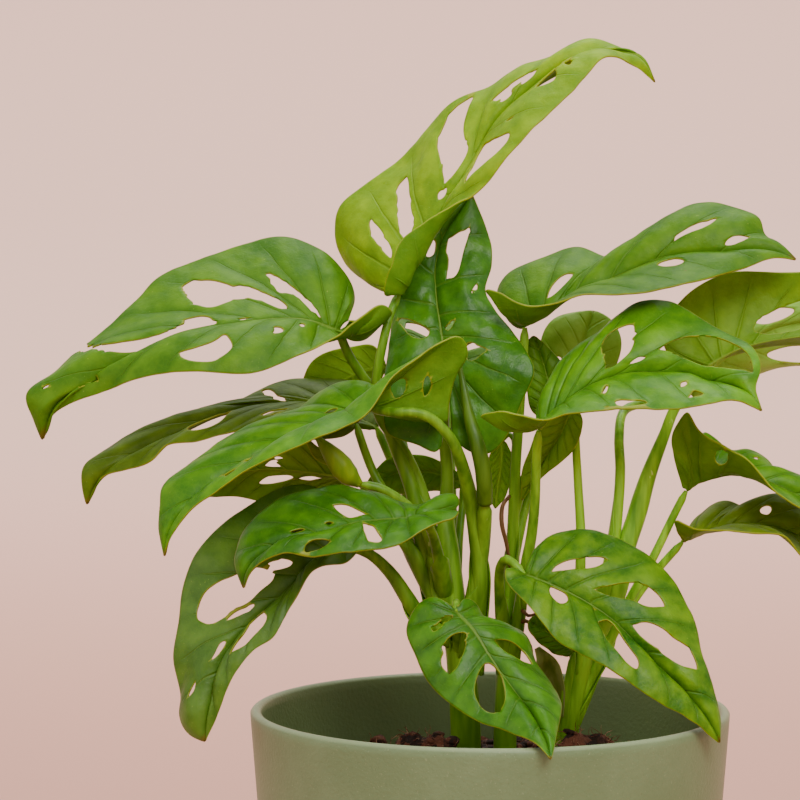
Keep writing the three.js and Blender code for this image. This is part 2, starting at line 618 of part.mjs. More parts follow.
      [-21.5, -46, 145], [-18, -50, 137.5], [-11, -55, 130.5], [-3, -60, 125.3], [5, -64, 123.2],
      [12, -69, 120.3]],
    left: [[-9, -41, 159.5], [-7.5, -38, 161.8], [-4, -36, 160], [-1, -35, 155.7], [5, -35, 154],
      [10.5, -37, 150.5], [13.5, -41, 144], [18, -46, 137], [20.7, -53, 130.5], [19.5, -64, 122]],
    pull: [2.6, 2.4],
    arch: [[2, 2], [1, 2]],
    detail: 0.8,
    holes: {
      right: [[-17, 153.5, -11, 155.3, 5.2], [-14, 142, -7, 150, 5], [-3.5, 141, 3, 129.5, 6.5]],
      left: [[2, 149.7, 11.5, 143.5, 3]],
    },
  },
  leaf_low_right: {
    colour: MID_GREEN,
    rib: [[10, -28, 169], [19, -30, 165.5], [28, -32, 161], [36, -34, 155.5], [44, -36, 147.5],
      [52, -37, 139], [60, -39, 130.5], [65, -40, 124], [67.3, -40, 119.2]],
    right: [[8, -29, 168], [4.8, -31, 171], [4.7, -33, 168], [7.5, -36, 163.8], [13, -40, 157.5],
      [20, -43, 150.3], [29, -45, 144.2], [39, -46, 138], [50, -46, 131.3], [60, -44, 125]],
    left: [[10.5, -26, 171], [13, -22, 176], [17.5, -19, 180.6], [25, -18, 182], [34, -18, 180.6],
      [43, -19, 176.5], [50, -21, 171], [55.5, -24, 163], [60, -28, 154.5], [62, -32, 145],
      [65, -35, 135.5], [67.5, -38, 126]],
    pull: [2.4, 2.6],
    arch: [[2, 2], [2, 3]],
    holes: {
      right: [[17.3, 160.5, 22.8, 165, 4.5], [33, 155, 42.5, 141.7, 6.5], [29.8, 158.2, 30.8, 159.2, 1]],
      left: [[18, 169.8, 33.7, 173, 3.8], [30, 164.3, 50.5, 160.5, 5.5], [42, 153, 60, 141.7, 7]],
    },
  },
  leaf_right_folded: {
    colour: UNDERSIDE_OLIVE,
    rib: [[57, 0, 193.5], [63, 1, 196.5], [71, 2, 198.3], [80, 3, 196.5], [90, 4, 192], [100, 4, 186],
      [110, 3, 176]],
    right: [[56, -2, 194.5], [53.5, -8, 204], [53.2, -10, 211], [57.3, -12, 217], [61, -13, 211],
      [69, -14, 205.3], [77, -15, 200.5], [84, -15, 193], [92, -13, 186.5], [102, -8, 180]],
    left: [[59, 3, 194.5], [60, 12, 203], [62, 15, 211], [66, 15, 209], [70, 15, 205.3], [75, 15, 205],
      [80, 14, 203], [84, 13, 199.3], [91, 12, 198], [101, 9, 191]],
    pull: [2.6, 2.6],
    arch: [[-2, 0], [0, 2]],
    detail: 0.85,
    holes: { right: [[65.2, 202.4, 69, 203.6, 3.8]], left: [[76.5, 202.6, 77.8, 202.6, 1]] },
  },
  leaf_right_low: {
    colour: MID_GREEN,
    rib: [[56, 2, 178.5], [64, 3, 182], [74, 4, 184], [84, 5, 183], [94, 4, 178], [104, 2, 168]],
    right: [[55.5, 0, 179.5], [54, -5, 185], [60, -9, 182.3], [68, -11, 181.3], [76, -11, 181.5],
      [85, -10, 180], [90, -8, 175], [97, -5, 170.5]],
    left: [[57, 4, 180], [59.5, 12, 184], [63, 15, 188.5], [69, 16, 190.2], [76, 16, 188.3], [82, 15, 193],
      [88, 14, 191], [95, 10, 184]],
    pull: [2.4, 2.4],
    arch: [[-1, 1], [1, 2]],
    detail: 0.8,
    holes: { right: [], left: [[78.5, 187, 81.7, 188.4, 2.8]] },
  },
  leaf_behind_top: {
    colour: UNDERSIDE_OLIVE,
    rib: [[-30, 16, 230], [-38, 18, 228], [-46, 19, 223], [-54, 18, 214]],
    right: [[-31, 17, 228], [-34, 19, 222], [-42, 20, 216], [-49, 19, 212.5]],
    left: [[-31, 16, 232], [-34, 17, 236], [-40, 18, 235.5], [-47, 18, 234], [-52, 18, 231],
      [-54.3, 18, 226], [-56, 18, 219]],
    pull: [2, 2],
    arch: [[1, 1], [1, 1]],
    detail: 0.6,
  },
  leaf_pale_back: {
    colour: BRIGHT_GREEN,
    rib: [[20, 12, 215], [23, 16, 226], [27, 20, 237], [30, 24, 246]],
    right: [[22, 12, 215], [30, 14, 219], [36, 17, 229], [38, 20, 237], [35, 22, 243.5]],
    left: [[18, 12, 216], [14, 14, 224], [14, 17, 234], [17, 20, 242.5], [23, 23, 245.3]],
    pull: [2, 2],
    arch: [[1, 1], [1, 1]],
    detail: 0.65,
    holes: { right: [[26, 226, 32, 229, 2.6]], left: [[17, 229, 21.5, 233, 2.4]] },
  },
  leaf_small_dark: {
    colour: DARK_GREEN,
    rib: [[17, 4, 214], [17, 6, 224], [15, 8, 232], [12.5, 9, 239]],
    right: [[18, 4, 214], [22, 4, 217], [23, 6, 224], [20.5, 8, 231], [16, 9, 236]],
    left: [[16, 4, 214], [12, 5, 217], [10.5, 6, 224], [9.5, 8, 231], [10, 9, 236]],
    pull: [2, 2],
    arch: [[1, 1], [1, 1]],
    detail: 0.55,
  },
  leaf_behind_stems: {
    colour: UNDERSIDE_OLIVE,
    rib: [[-8, 10, 196], [-17, 13, 199], [-27, 16, 199], [-37, 18, 193]],
    right: [[-8, 9, 198], [-16, 11, 203], [-27, 14, 204], [-34, 16, 199]],
    left: [[-8, 12, 194.5], [-17, 16, 193.5], [-27, 19, 192.5], [-34, 19, 191]],
    pull: [2, 2],
    arch: [[1, 1], [1, 1]],
    detail: 0.55,
  },
  leaf_small_hanging: {
    colour: UNDERSIDE_OLIVE,
    rib: [[3.5, 7, 208], [3, 7, 200], [2, 7, 194], [1.5, 7, 188]],
    right: [[4.5, 7, 208], [6.3, 8, 204], [6.5, 8, 198], [4.5, 8, 192]],
    left: [[2.5, 7, 208], [0, 8, 204], [-1, 8, 198], [-0.5, 8, 192]],
    pull: [2, 2],
    arch: [[0.5, 0.5], [0.5, 0.5]],
    detail: 0.5,
  },
  leaf_wet_hanging: {
    colour: DARK_GREEN,
    rib: [[24, -4, 218], [21, -4, 211], [16, -4, 203], [9, -3, 190.5]],
    right: [[23, -4, 218.5], [20, -6, 217.5], [15, -7, 212], [11, -6, 205], [9, -5, 197]],
    left: [[25, -4, 217.5], [26.5, -6, 215], [26, -7, 209], [21, -6, 202], [15.3, -4, 197.8]],
    pull: [2, 2],
    arch: [[0.5, 1], [0.5, 1]],
    detail: 0.55,
  },
  leaf_low_under: {
    colour: UNDERSIDE_OLIVE,
    rib: [[24.5, -8, 146], [20.5, -10, 149.5], [16, -12, 152.5], [11, -14, 155.5]],
    right: [[25.5, -7, 148], [28.5, -6, 150.5], [26, -7, 154.5], [20, -9, 157], [14, -12, 157.5]],
    left: [[23, -9, 145], [19.5, -12, 145.5], [15, -14, 148.5], [11.5, -15, 152]],
    pull: [2, 2],
    arch: [[0.5, 0.5], [0.5, 0.5]],
    detail: 0.5,
  },
  leaf_back_right: {
    colour: MID_GREEN,
    rib: [[58, 34, 222], [68, 38, 232], [80, 42, 240], [94, 45, 243], [108, 44, 240], [120, 40, 230]],
    right: [[59, 36, 220], [66, 46, 224], [78, 54, 228], [92, 56, 230], [108, 52, 228]],
    left: [[57, 33, 224], [60, 36, 234], [66, 40, 243], [78, 44, 250], [94, 46, 252], [110, 44, 248]],
    pull: [2.4, 2.4],
    arch: [[2, 2], [2, 2]],
    detail: 0.75,
    holes: { right: [[80, 233, 100, 234, 5]], left: [[76, 243, 88, 246, 4]] },
  },
  leaf_back_high: {
    colour: MID_GREEN,
    rib: [[-12, 34, 222], [-13, 44, 234], [-15, 56, 243], [-16, 68, 248], [-15, 80, 248], [-13, 92, 244]],
    right: [[-9, 34, 222], [0, 36, 226], [7, 44, 232], [6, 56, 238], [2, 70, 240], [-5, 84, 240]],
    left: [[-15, 34, 222], [-24, 38, 226], [-29, 46, 233], [-28, 58, 241], [-25, 72, 244], [-19, 85, 243]],
    pull: [2.2, 2.2],
    arch: [[2, 3], [2, 3]],
    detail: 0.85,
    hiddenHoles: { right: [[0.42, 0.2, 0.7, 0.06], [0.6, 0.2, 0.7, 0.06]], left: [[0.5, 0.2, 0.75, 0.07]] },
  },
  leaf_back_low: {
    colour: DARK_GREEN,
    rib: [[30, 46, 168], [32, 56, 172], [35, 68, 172], [38, 80, 167], [41, 91, 158], [43, 99, 146]],
    right: [[32, 45, 167], [44, 48, 168], [52, 56, 167], [56, 68, 162], [55, 80, 154], [50, 92, 146]],
    left: [[28, 46, 167], [17, 50, 168], [12, 60, 168], [14, 72, 165], [22, 84, 157], [33, 94, 148]],
    pull: [2.2, 2.2],
    arch: [[2, 3], [2, 3]],
    detail: 0.85,
    hiddenHoles: { right: [[0.5, 0.2, 0.75, 0.07]], left: [[0.42, 0.2, 0.7, 0.06], [0.62, 0.2, 0.7, 0.06]] },
  },
  leaf_back_left: {
    colour: MID_GREEN,
    rib: [[-32, 34, 205], [-40, 42, 212], [-50, 52, 215], [-60, 62, 213], [-68, 72, 206], [-74, 80, 196]],
    right: [[-31, 36, 207], [-28, 46, 215], [-34, 58, 220], [-44, 70, 219], [-56, 80, 212], [-67, 84, 203]],
    left: [[-34, 33, 204], [-44, 34, 205], [-56, 40, 206], [-66, 50, 204], [-73, 62, 200], [-76, 73, 196]],
    pull: [2.2, 2.2],
    arch: [[2, 3], [2, 3]],
    detail: 0.85,
    hiddenHoles: { right: [[0.5, 0.2, 0.7, 0.06]], left: [[0.45, 0.2, 0.75, 0.07], [0.65, 0.2, 0.7, 0.06]] },
  },
};

// Each shoot: where its foot stands in the soil, its short main stem, and the petioles that leave
// it. A petiole's points run upwards from inside the stem, and it ends under its own leaf.
const SHOOTS = {
  stem_left: {
    foot: [-7, -2],
    radii: [4.4, 4.4, 4, 3.4, 2.6],
    stem: [[-7, -2, 122], [-9, -4, 148], [-13, -5, 164], [-17, -6, 176]],
    petioles: [
      { leaf: 'leaf_far_left', radii: [3, 2.6, 2.2, 1.5, 1.3], path: [[-15, -4, 158], [-19, -3, 176],
        [-22, -2, 192], [-28, 0, 208], [-35, 1, 224], [-37.5, 0, 227.5], [-41, -2, 233]] },
      { leaf: 'leaf_top', radii: [2.6, 2.2, 1.7, 1.4, 1.2], path: [[-14, -3, 158], [-16.5, -2, 175],
        [-19, -1, 190], [-25, 0, 205], [-31.5, -1, 214], [-33.4, -4, 220], [-33, -7, 227], [-31.5, -8, 235],
        [-29, -6, 245]] },
      { leaf: 'leaf_centre', radii: [3, 2.8, 2, 1.6, 1.3], path: [[-10, -4, 158], [-12, -4, 175],
        [-13, -3, 184], [-12.5, -1, 198], [-13.5, -2, 212], [-13, -5, 224]] },
      { leaf: 'leaf_left_front', radii: [2.4, 2.4, 2.2, 1.5, 1.3], path: [[-4.5, -5, 140], [-3, -8, 168],
        [-4, -10, 180], [-5.4, -12, 190], [-6.8, -15, 196], [-8.5, -19, 202], [-10.2, -22, 206.5],
        [-13, -24, 210.8], [-17, -25, 214.5], [-22, -26.5, 216.4], [-28, -26, 216.4]] },
      { leaf: 'leaf_left_back', radii: [2.2, 2, 1.8, 1.3, 1.2], path: [[-14, -5, 158], [-24, -4, 178],
        [-27, -3, 186], [-33.5, -1, 198], [-36, 0, 204]] },
      { leaf: 'leaf_left_under', radii: [1.8, 1.6, 1.3, 1.1], path: [[-15, -5, 164], [-21, -5, 172],
        [-29, -4, 184], [-35, -3, 193]] },
      { leaf: 'leaf_lower_left', radii: [2.2, 2.4, 1.8, 1.3], path: [[-11, -5, 150], [-20, -7, 156],
        [-24, -8, 162], [-29, -9, 169.5], [-35, -11, 175]] },
      { leaf: 'leaf_front_shiny', radii: [2, 1.8, 1.4, 1.2], path: [[-13, -6, 164], [-15, -14, 174],
        [-17, -22, 181.5]] },
      { leaf: 'leaf_low_front', radii: [2, 1.6, 1.2, 1.1], path: [[-9, -5, 146], [-9.3, -16, 160],
        [-9.6, -28, 164.5], [-9.8, -37, 162]] },
      { leaf: 'leaf_furled', radii: [1.8, 1.6, 1.5, 1.3], path: [[-15, -6, 172], [-20, -10, 185],
        [-26, -12, 190.6], [-32, -13.5, 194.2]] },
      { leaf: 'leaf_spear', radii: [2.6, 2.4, 2.1], path: [[-7, -5, 150], [-2.5, -9, 176], [-1.5, -15, 189]] },
      { leaf: 'leaf_behind_top', radii: [1.8, 1.4, 1.1], path: [[-22.5, -2, 194], [-27, 8, 214],
        [-29, 13, 224]] },
      { leaf: 'leaf_behind_stems', radii: [1.6, 1.3, 1], path: [[-10, -3, 160], [-9, 4, 180], [-8, 8, 190]] },
      { leaf: 'leaf_back_high', radii: [2, 1.8, 1.5, 1.2], path: [[-10, -3, 152], [-11, 10, 178],
        [-11.5, 20, 200], [-12, 28, 213]] },
      { leaf: 'leaf_back_left', radii: [2, 1.7, 1.4, 1.2], path: [[-11, -3, 152], [-14, 12, 168],
        [-19, 25, 181], [-26, 32, 196]] },
    ],
  },
  stem_middle: {
    foot: [4.5, 1],
    radii: [3.4, 3.4, 3, 2.4],
    stem: [[4.5, 1, 122], [5.5, 0, 146], [6, 0, 164]],
    petioles: [
      { leaf: 'leaf_upper_right', radii: [2.2, 1.8, 1.5, 1.3], path: [[5.5, 0, 150], [6.2, 0, 170],
        [6.8, 0, 185], [7.3, 0, 200], [8, -1, 210], [9, -1, 225], [9.7, 0, 236]] },
      { leaf: 'leaf_right_bright', radii: [2.2, 1.8, 1.5, 1.3], path: [[5, 0, 136], [8, -5, 152],
        [10.5, -10, 172], [12, -12, 180], [13, -15, 190], [13.3, -18, 200], [13.6, -20, 206]] },
      { leaf: 'leaf_low_right', radii: [2, 1.8, 1.4, 1.2], path: [[5, 0, 140], [3, -9, 160],
        [2.6, -18, 174], [5, -25, 175.5]] },
      { leaf: 'leaf_small_dark', radii: [1.6, 1.3, 1], path: [[6.8, 0, 186], [11, 2, 200], [15, 3.5, 209]] },
      { leaf: 'leaf_pale_back', radii: [1.8, 1.5, 1.1], path: [[6, 0, 170], [11, 6, 192], [17, 10, 208]] },
      { leaf: 'leaf_small_hanging', radii: [1.3, 1, 0.9], path: [[7, 0, 192], [7.6, 4, 204],
        [6, 6.5, 210.5]] },
    ],
  },
  stem_right: {
    foot: [22.5, -2],
    radii: [3.4, 3.4, 3, 2.2],
    stem: [[22.5, -2, 121], [25, -2, 136], [29, -2, 148]],
    petioles: [
      { leaf: 'leaf_wet_hanging', radii: [2, 1.6, 1.3, 1.1], path: [[26, -2, 140], [27, -3, 168],
        [27.5, -3, 181], [27, -3, 195], [27, -3, 210], [25.8, -3.5, 217.5]] },
      { leaf: 'leaf_back_right', radii: [2, 1.6, 1.4, 1.2], path: [[28, -2, 146], [33, -1, 172],
        [36.5, 0, 190], [37.5, 2, 200], [37, 6, 209], [40, 16, 217], [48, 27, 219.5]] },
      { leaf: 'leaf_far_right', radii: [2.2, 2.6, 2.8, 1.6, 1.3], path: [[28, -2, 146], [36, -1, 163],
        [40, 0, 178], [42.5, 1, 186], [46, 2, 198], [51, 3, 210], [56, 3.5, 219]] },
      { leaf: 'leaf_right_folded', radii: [2, 1.7, 1.3, 1.1], path: [[24, -2, 128], [31, 0, 142],
        [36, 1, 152], [41, 1, 162], [48, 1, 175], [53, 0.5, 185.5]] },
      { leaf: 'leaf_right_low', radii: [1.9, 1.6, 1.3, 1.1], path: [[23.5, -1, 124], [33, 3, 147],
        [41, 4, 160], [46, 4, 167], [51, 3, 173]] },
      { leaf: 'leaf_low_under', radii: [1.6, 1.4, 1.1], path: [[22, -4, 122], [22, -6, 132],
        [23.4, -7, 140]] },
      { leaf: 'leaf_back_low', radii: [1.9, 1.6, 1.3, 1.2], path: [[24, -1, 128], [26.5, 18, 148],
        [28.5, 34, 161]] },
    ],
  },
};

// Rolled pieces: a young leaf still furled, the newest one as a spear, and a dry sheath
const ROLLS = {
  leaf_furled: {
    colour: MID_GREEN,
    path: [[-38, -14, 195.5], [-41, -15, 198], [-45.5, -16, 203.5], [-50.5, -17, 209.4]],
    radii: [1.2, 3, 3.4, 2.8, 1.8, 0.5],
  },
  leaf_spear: {
    colour: SPEAR_BROWN,
    path: [[-1.6, -18, 195], [-2.1, -19, 200], [-3.7, -19, 207], [-6, -17, 215], [-8, -14.5, 225], [-9, -13.5, 230]],
    radii: [1.9, 2.2, 2.2, 1.6, 0.9, 0.4],
  },
  sheath_dry: {
    colour: SHEATH_CREAM,
    path: [[18.9, -6.6, 127], [18, -8, 136], [16.5, -11, 143], [14, -11, 147.5]],
    radii: [1.6, 2.6, 2.4, 0.7],
  },
};

const ROLL_STEPS = 8;
const ROLL_SIDES = 8;

function material(colour, roughness) {
  return new THREE.MeshStandardMaterial({ color: colour, roughness, metalness: 0 });
}

function named(name, geometry, finish) {
  const mesh = new THREE.Mesh(geometry, finish);
  mesh.name = name;
  return mesh;
}

function outerRadius(z) {
  const foot = POT_FOOT_DIAMETER / 2;
  return foot + (POT_DIAMETER / 2 - foot) * (z / POT_HEIGHT) ** 0.7;
}

function potSolid() {
  const lip = POT_WALL / 2;
  const lipCentre = [POT_DIAMETER / 2 - lip, POT_HEIGHT - lip];
  const levels = [0.12, 0.4, 0.7];
  const outside = levels.map((level) => [outerRadius(level * POT_HEIGHT), level * POT_HEIGHT]);
  const inside = outside.map(([r, z]) => [r - POT_WALL, z]).reverse();
  const round = [0, 1, 2, 3, 4].map((k) => [
    lipCentre[0] + lip * Math.cos((k * Math.PI) / 4),
    lipCentre[1] + lip * Math.sin((k * Math.PI) / 4),
  ]);
  const foot = POT_FOOT_DIAMETER / 2;
  const floorRadius = outerRadius(POT_FLOOR) - POT_WALL - 2;
  return lathe([[0, 0], [foot - 1.5, 0], [foot, 1.5], ...outside, ...round, ...inside,
    [floorRadius + 1.5, POT_FLOOR + 2], [floorRadius, POT_FLOOR], [0, POT_FLOOR]], POT_ROUNDS);
}

const SOIL_LEVEL = POT_HEIGHT - SOIL_BELOW_RIM;

function crumble(x, y) {
  return 0.9 * Math.sin(0.43 * x + 1.1) * Math.cos(0.37 * y - 0.6) + 0.6 * Math.sin(0.91 * x - 0.53 * y);
}

function soilSolid() {
  const inner = (z) => outerRadius(z) - POT_WALL - FIT_GAP - 0.4;
  const bottom = POT_FLOOR + 2 + FIT_GAP;
  const rings = [54, 44, 33, 23, 13];
  const surface = rings.map((r) => [r, SOIL_LEVEL + SOIL_MOUND * Math.exp(-((r / 30) ** 2))]);
  const sides = [bottom + 8, 0.4 * POT_HEIGHT, 0.7 * POT_HEIGHT, SOIL_LEVEL - 1.5];
  const profile = [[0, bottom], [inner(bottom) - 3, bottom], ...sides.map((z) => [inner(z), z]),
    [inner(SOIL_LEVEL) - 1.5, SOIL_LEVEL], ...surface, [0, SOIL_LEVEL + SOIL_MOUND]];
  return lathe(profile, SOIL_ROUNDS).warp((vertex) => {
    const [x, y, z] = vertex;
    if (z >= SOIL_LEVEL - 0.1) {
      vertex[2] = z + crumble(x, y) * smooth(60, 50, Math.hypot(x, y));
    }
  });
}

function shootFoot(shoot, gap) {
  const [x, y] = shoot.foot;
  const radius = shoot.radii[0] + FOOT_FLARE + gap;
  const base = SOIL_LEVEL + SOIL_MOUND - STEM_FOOT_DEPTH - gap;
  const top = shoot.stem[0][2] + 1;
  return Manifold.cylinder(top - base, radius, radius, FOOT_SIDES).translate([x, y, base]);
}

// A petiole is drawn up to its joint, then cut back until it clears its blade by the seat gap
function petioleSolid({ path, radii }, joint, bladeBody) {
  const placed = path.map(([x, y, z]) => fromEye(x, y, z));
  const last = placed[placed.length - 1];
  const steps = Math.max(4, Math.round(placed.length * 1.6));
  let body = null;
  for (let back = SEAT_GAP; back < 4; back += 0.2) {
    const end = joint.clone().add(last.clone().sub(joint).setLength(back));
    body = solidOf(tube([...placed, end], radii, steps, PETIOLE_SIDES));
    if (body.minGap(bladeBody, 1) >= SEAT_GAP) {
      break;
    }
  }
  return body;
}

const plant = new THREE.Group();
const bladeBodies = {};
const joints = {};

for (const [name, leaf] of Object.entries(LEAVES)) {
  const geometry = bladeSolid(leaf);
  bladeBodies[name] = solidOf(geometry);
  joints[name] = fromEye(...leaf.rib[0]);
  plant.add(named(name, geometry, material(leaf.colour, 0.45)));
}

for (const [name, roll] of Object.entries(ROLLS)) {
  const placed = roll.path.map(([x, y, z]) => fromEye(x, y, z));
  const geometry = tube(placed, roll.radii, ROLL_STEPS, ROLL_SIDES);
  bladeBodies[name] = solidOf(geometry);
  [joints[name]] = placed;
  plant.add(named(name, geometry, material(roll.colour, 0.5)));
}

let soil = soilSolid();
for (const [name, shoot] of Object.entries(SHOOTS)) {
  const stemPath = [new THREE.Vector3(...shoot.foot, shoot.stem[0][2] - 6),
    ...shoot.stem.map(([x, y, z]) => fromEye(x, y, z))];
  const pieces = [shootFoot(shoot, 0), solidOf(tube(stemPath, shoot.radii, 8, 10))];
  for (const petiole of shoot.petioles) {
    pieces.push(petioleSolid(petiole, joints[petiole.leaf], bladeBodies[petiole.leaf]));
  }
  soil = soil.subtract(shootFoot(shoot, FIT_GAP));
  plant.add(named(name, geometryFrom(Manifold.union(pieces).asOriginal().simplify(SLIVER)), material(PETIOLE_GREEN, 0.5)));
}

plant.add(named('soil', geometryFrom(soil), material(SOIL_BROWN, 0.95)));
plant.add(named('pot', geometryFrom(potSolid()), material(POT_SAGE, 0.45)));

export default plant;
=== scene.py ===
"""A potted monstera with holed leaves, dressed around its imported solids. Lengths are in metres."""
import math
import random

import bmesh
import bpy
import numpy as np
from mathutils import Matrix, Vector, noise


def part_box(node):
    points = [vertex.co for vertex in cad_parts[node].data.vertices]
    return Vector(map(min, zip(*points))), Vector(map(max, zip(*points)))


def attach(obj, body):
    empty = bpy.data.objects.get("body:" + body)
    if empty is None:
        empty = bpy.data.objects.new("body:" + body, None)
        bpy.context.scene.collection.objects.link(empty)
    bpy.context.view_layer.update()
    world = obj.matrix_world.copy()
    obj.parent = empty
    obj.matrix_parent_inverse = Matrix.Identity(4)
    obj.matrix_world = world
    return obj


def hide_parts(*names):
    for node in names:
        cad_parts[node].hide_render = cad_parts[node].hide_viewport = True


bl_info = {
    "name": "Potted Monstera",
    "version": (1, 0, 0),
    "blender": (4, 5, 0),
    "location": "View3D > Sidebar > Monstera",
    "description": "Builds a potted monstera: glazed pot, potting mix, shoots and holed leaves",
    "category": "Add Mesh",
}

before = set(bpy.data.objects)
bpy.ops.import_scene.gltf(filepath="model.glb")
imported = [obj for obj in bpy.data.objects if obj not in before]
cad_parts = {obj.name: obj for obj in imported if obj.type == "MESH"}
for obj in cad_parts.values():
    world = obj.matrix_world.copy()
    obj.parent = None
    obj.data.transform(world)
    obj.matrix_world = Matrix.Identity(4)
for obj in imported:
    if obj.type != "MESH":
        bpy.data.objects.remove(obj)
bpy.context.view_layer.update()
POT_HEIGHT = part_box("pot")[1].z

MM = 0.001
FULL_TURN = 2 * math.pi

# The eye that leaf and petiole points are written from, in mm: x and z are what it sees on the
# pot's middle plane, and y is how far behind that plane the point really lies. It looks at
# EYE_TARGET, in metres, through a lens given in mm, as the camera does.
EYE = np.array([-26.2, -997.2, 295.0])
EYE_TARGET = Vector((-0.0262, 0.0, 0.220))
EYE_LENS = 155.1
SENSOR = 36.0
FRAME_PIXELS = 800


# Curves and blade surfaces

def smooth_mesh(bm, name):
    """The finished mesh of a bmesh, smooth all over; the bmesh is freed."""
    for face in bm.faces:
        face.smooth = True
    mesh = bpy.data.meshes.new(name)
    bm.to_mesh(mesh)
    bm.free()
    return mesh


def from_eye(points):
    """Points as the eye writes them, placed in mm."""
    points = np.asarray(points, float)
    stretch = 1 - points[..., 1] / EYE[1]
    flat = points.copy()
    flat[..., 1] = 0
    return (flat - EYE) * stretch[..., None] + EYE


def to_eye(points):
    """Placed points back as the eye sees them on the pot's middle plane: x and z in mm."""
    stretch = 1 - points[..., 1] / EYE[1]
    seen = (points - EYE) / stretch[..., None] + EYE
    return seen[..., [0, 2]]


def from_pixel(column, row):
    """Where the eye sees a pixel of its frame on the pot's middle plane: x and z in mm."""
    ahead = np.array(EYE_TARGET) / MM - EYE
    ahead /= np.linalg.norm(ahead)
    right = np.array((1.0, 0.0, 0.0))
    up = np.cross(right, ahead)
    focal = FRAME_PIXELS * EYE_LENS / SENSOR
    middle = FRAME_PIXELS / 2
    ray = ahead + right * (column - middle) / focal + up * (middle - row) / focal
    seen = EYE - ray * EYE[1] / ray[1]
    return seen[0], seen[2]


class Route:
    """A centripetal spline through placed points, read by the share of its length."""

    SAMPLES = 24

    def __init__(self, points):
        points = np.asarray(points, float)
        ends = [2 * points[0] - points[1], *points, 2 * points[-1] - points[-2]]
        samples = [points[0]]
        for p0, p1, p2, p3 in zip(ends, ends[1:], ends[2:], ends[3:]):
            spans = ((p0, p1), (p1, p2), (p2, p3))
            g0, g1, g2 = (max(np.linalg.norm(b - a) ** 0.5, 1e-4) for a, b in spans)
            t1 = ((p1 - p0) / g0 - (p2 - p0) / (g0 + g1) + (p2 - p1) / g1) * g1
            t2 = ((p2 - p1) / g1 - (p3 - p1) / (g1 + g2) + (p3 - p2) / g2) * g1
            for k in range(1, self.SAMPLES + 1):
                t = k / self.SAMPLES
                cubic = (2 * p1 - 2 * p2 + t1 + t2) * t ** 3
                square = (3 * p2 - 3 * p1 - 2 * t1 - t2) * t ** 2
                samples.append(cubic + square + t1 * t + p1)
        self.samples = np.array(samples)
        steps = np.linalg.norm(np.diff(self.samples, axis=0), axis=1)
        self.length = steps.sum()
        self.shares = np.concatenate([[0], np.cumsum(steps)]) / self.length

    def at(self, share):
        share = np.clip(share, 0, 1)
        parts = [np.interp(share, self.shares, self.samples[:, k]) for k in range(3)]
        return np.stack(parts, axis=-1)


def smooth_step(low, high, value):
    t = np.clip((value - low) / (high - low), 0, 1)
    return t * t * (3 - 2 * t)


class HalfBlade:
    """Half of a blade: s runs along the margin from sinus to tip, v from the rib outwards."""

    STEP = 0.01
    EVEN_SHARE = 0.12  # of the rib's pace; the rest is held back by the leaf's pull
    FULL_ARCH = (0.15, 0.5)  # where the arch changes from its base value to its later one
    ARCH_WIDTH = 12
    SEARCH_ROUNDS = 24

    def __init__(self, leaf, side):
        column = 0 if side == "right" else 1
        self.sign = 1 - 2 * column
        self.rib = Route(from_eye(leaf["rib"]))
        self.margin = Route(from_eye([*leaf[side], leaf["rib"][-1]]))
        self.pull = leaf["pull"][column]
        self.arch = leaf["arch"][column]
        self.table = None

    def rib_at(self, s):
        return self.rib.at(self.EVEN_SHARE * s + (1 - self.EVEN_SHARE) * s ** self.pull)

    def at(self, s, v):
        """Placed points in mm, the way that the top faces and the reach from rib to margin."""
        s = np.clip(np.asarray(s, float), 0, 1)
        v = np.asarray(v, float)
        inner = self.rib_at(s)
        across = self.margin.at(s) - inner
        before = np.maximum(s - self.STEP, 0)
        after = np.minimum(s + self.STEP, 1)
        along = self.margin.at(after) - self.margin.at(before)
        along = along + self.rib_at(after) - self.rib_at(before)
        up = np.cross(across, along) * self.sign
        up /= np.maximum(np.linalg.norm(up, axis=-1, keepdims=True), 1e-9)
        reach = np.linalg.norm(across, axis=-1)
        base, rest = self.arch
        lift = base + (rest - base) * smooth_step(*self.FULL_ARCH, s)
        lift = lift * np.minimum(1, reach / self.ARCH_WIDTH)
        points = inner + across * v[..., None] + up * (lift * 4 * v * (1 - v))[..., None]
        return points, up, reach

    def find(self, x, z):
        """The s and v under a seen point: the nearest of a table, then by halved steps."""
        if self.table is None:
            along, across = np.linspace(0.02, 0.98, 97), np.linspace(0, 1.1, 45)
            s, v = np.meshgrid(along, across, indexing="ij")
            self.table = s, v, to_eye(self.at(s, v)[0])
        s, v, seen = self.table
        k = np.unravel_index(np.argmin(np.hypot(seen[..., 0] - x, seen[..., 1] - z)), s.shape)
        best = np.array([s[k], v[k]])
        reach = self.STEP
        offsets = np.array([(a, b) for a in (-1, 0, 1) for b in (-1, 0, 1)])
        stay = len(offsets) // 2
        for _ in range(self.SEARCH_ROUNDS):
            tries = best + offsets * reach
            seen_tries = to_eye(self.at(tries[:, 0], tries[:, 1])[0])
            nearest = np.argmin(np.hypot(seen_tries[:, 0] - x, seen_tries[:, 1] - z))
            if nearest == stay:
                reach /= 2
            best = tries[nearest]
        return best


STRIP_INSIDE = 0.93  # the v that a hole may reach while a strip of margin stays outside it
RIB_LEFT = 0.03  # the v that a hole leaves to the rib
OUTLINE_POINTS = 24


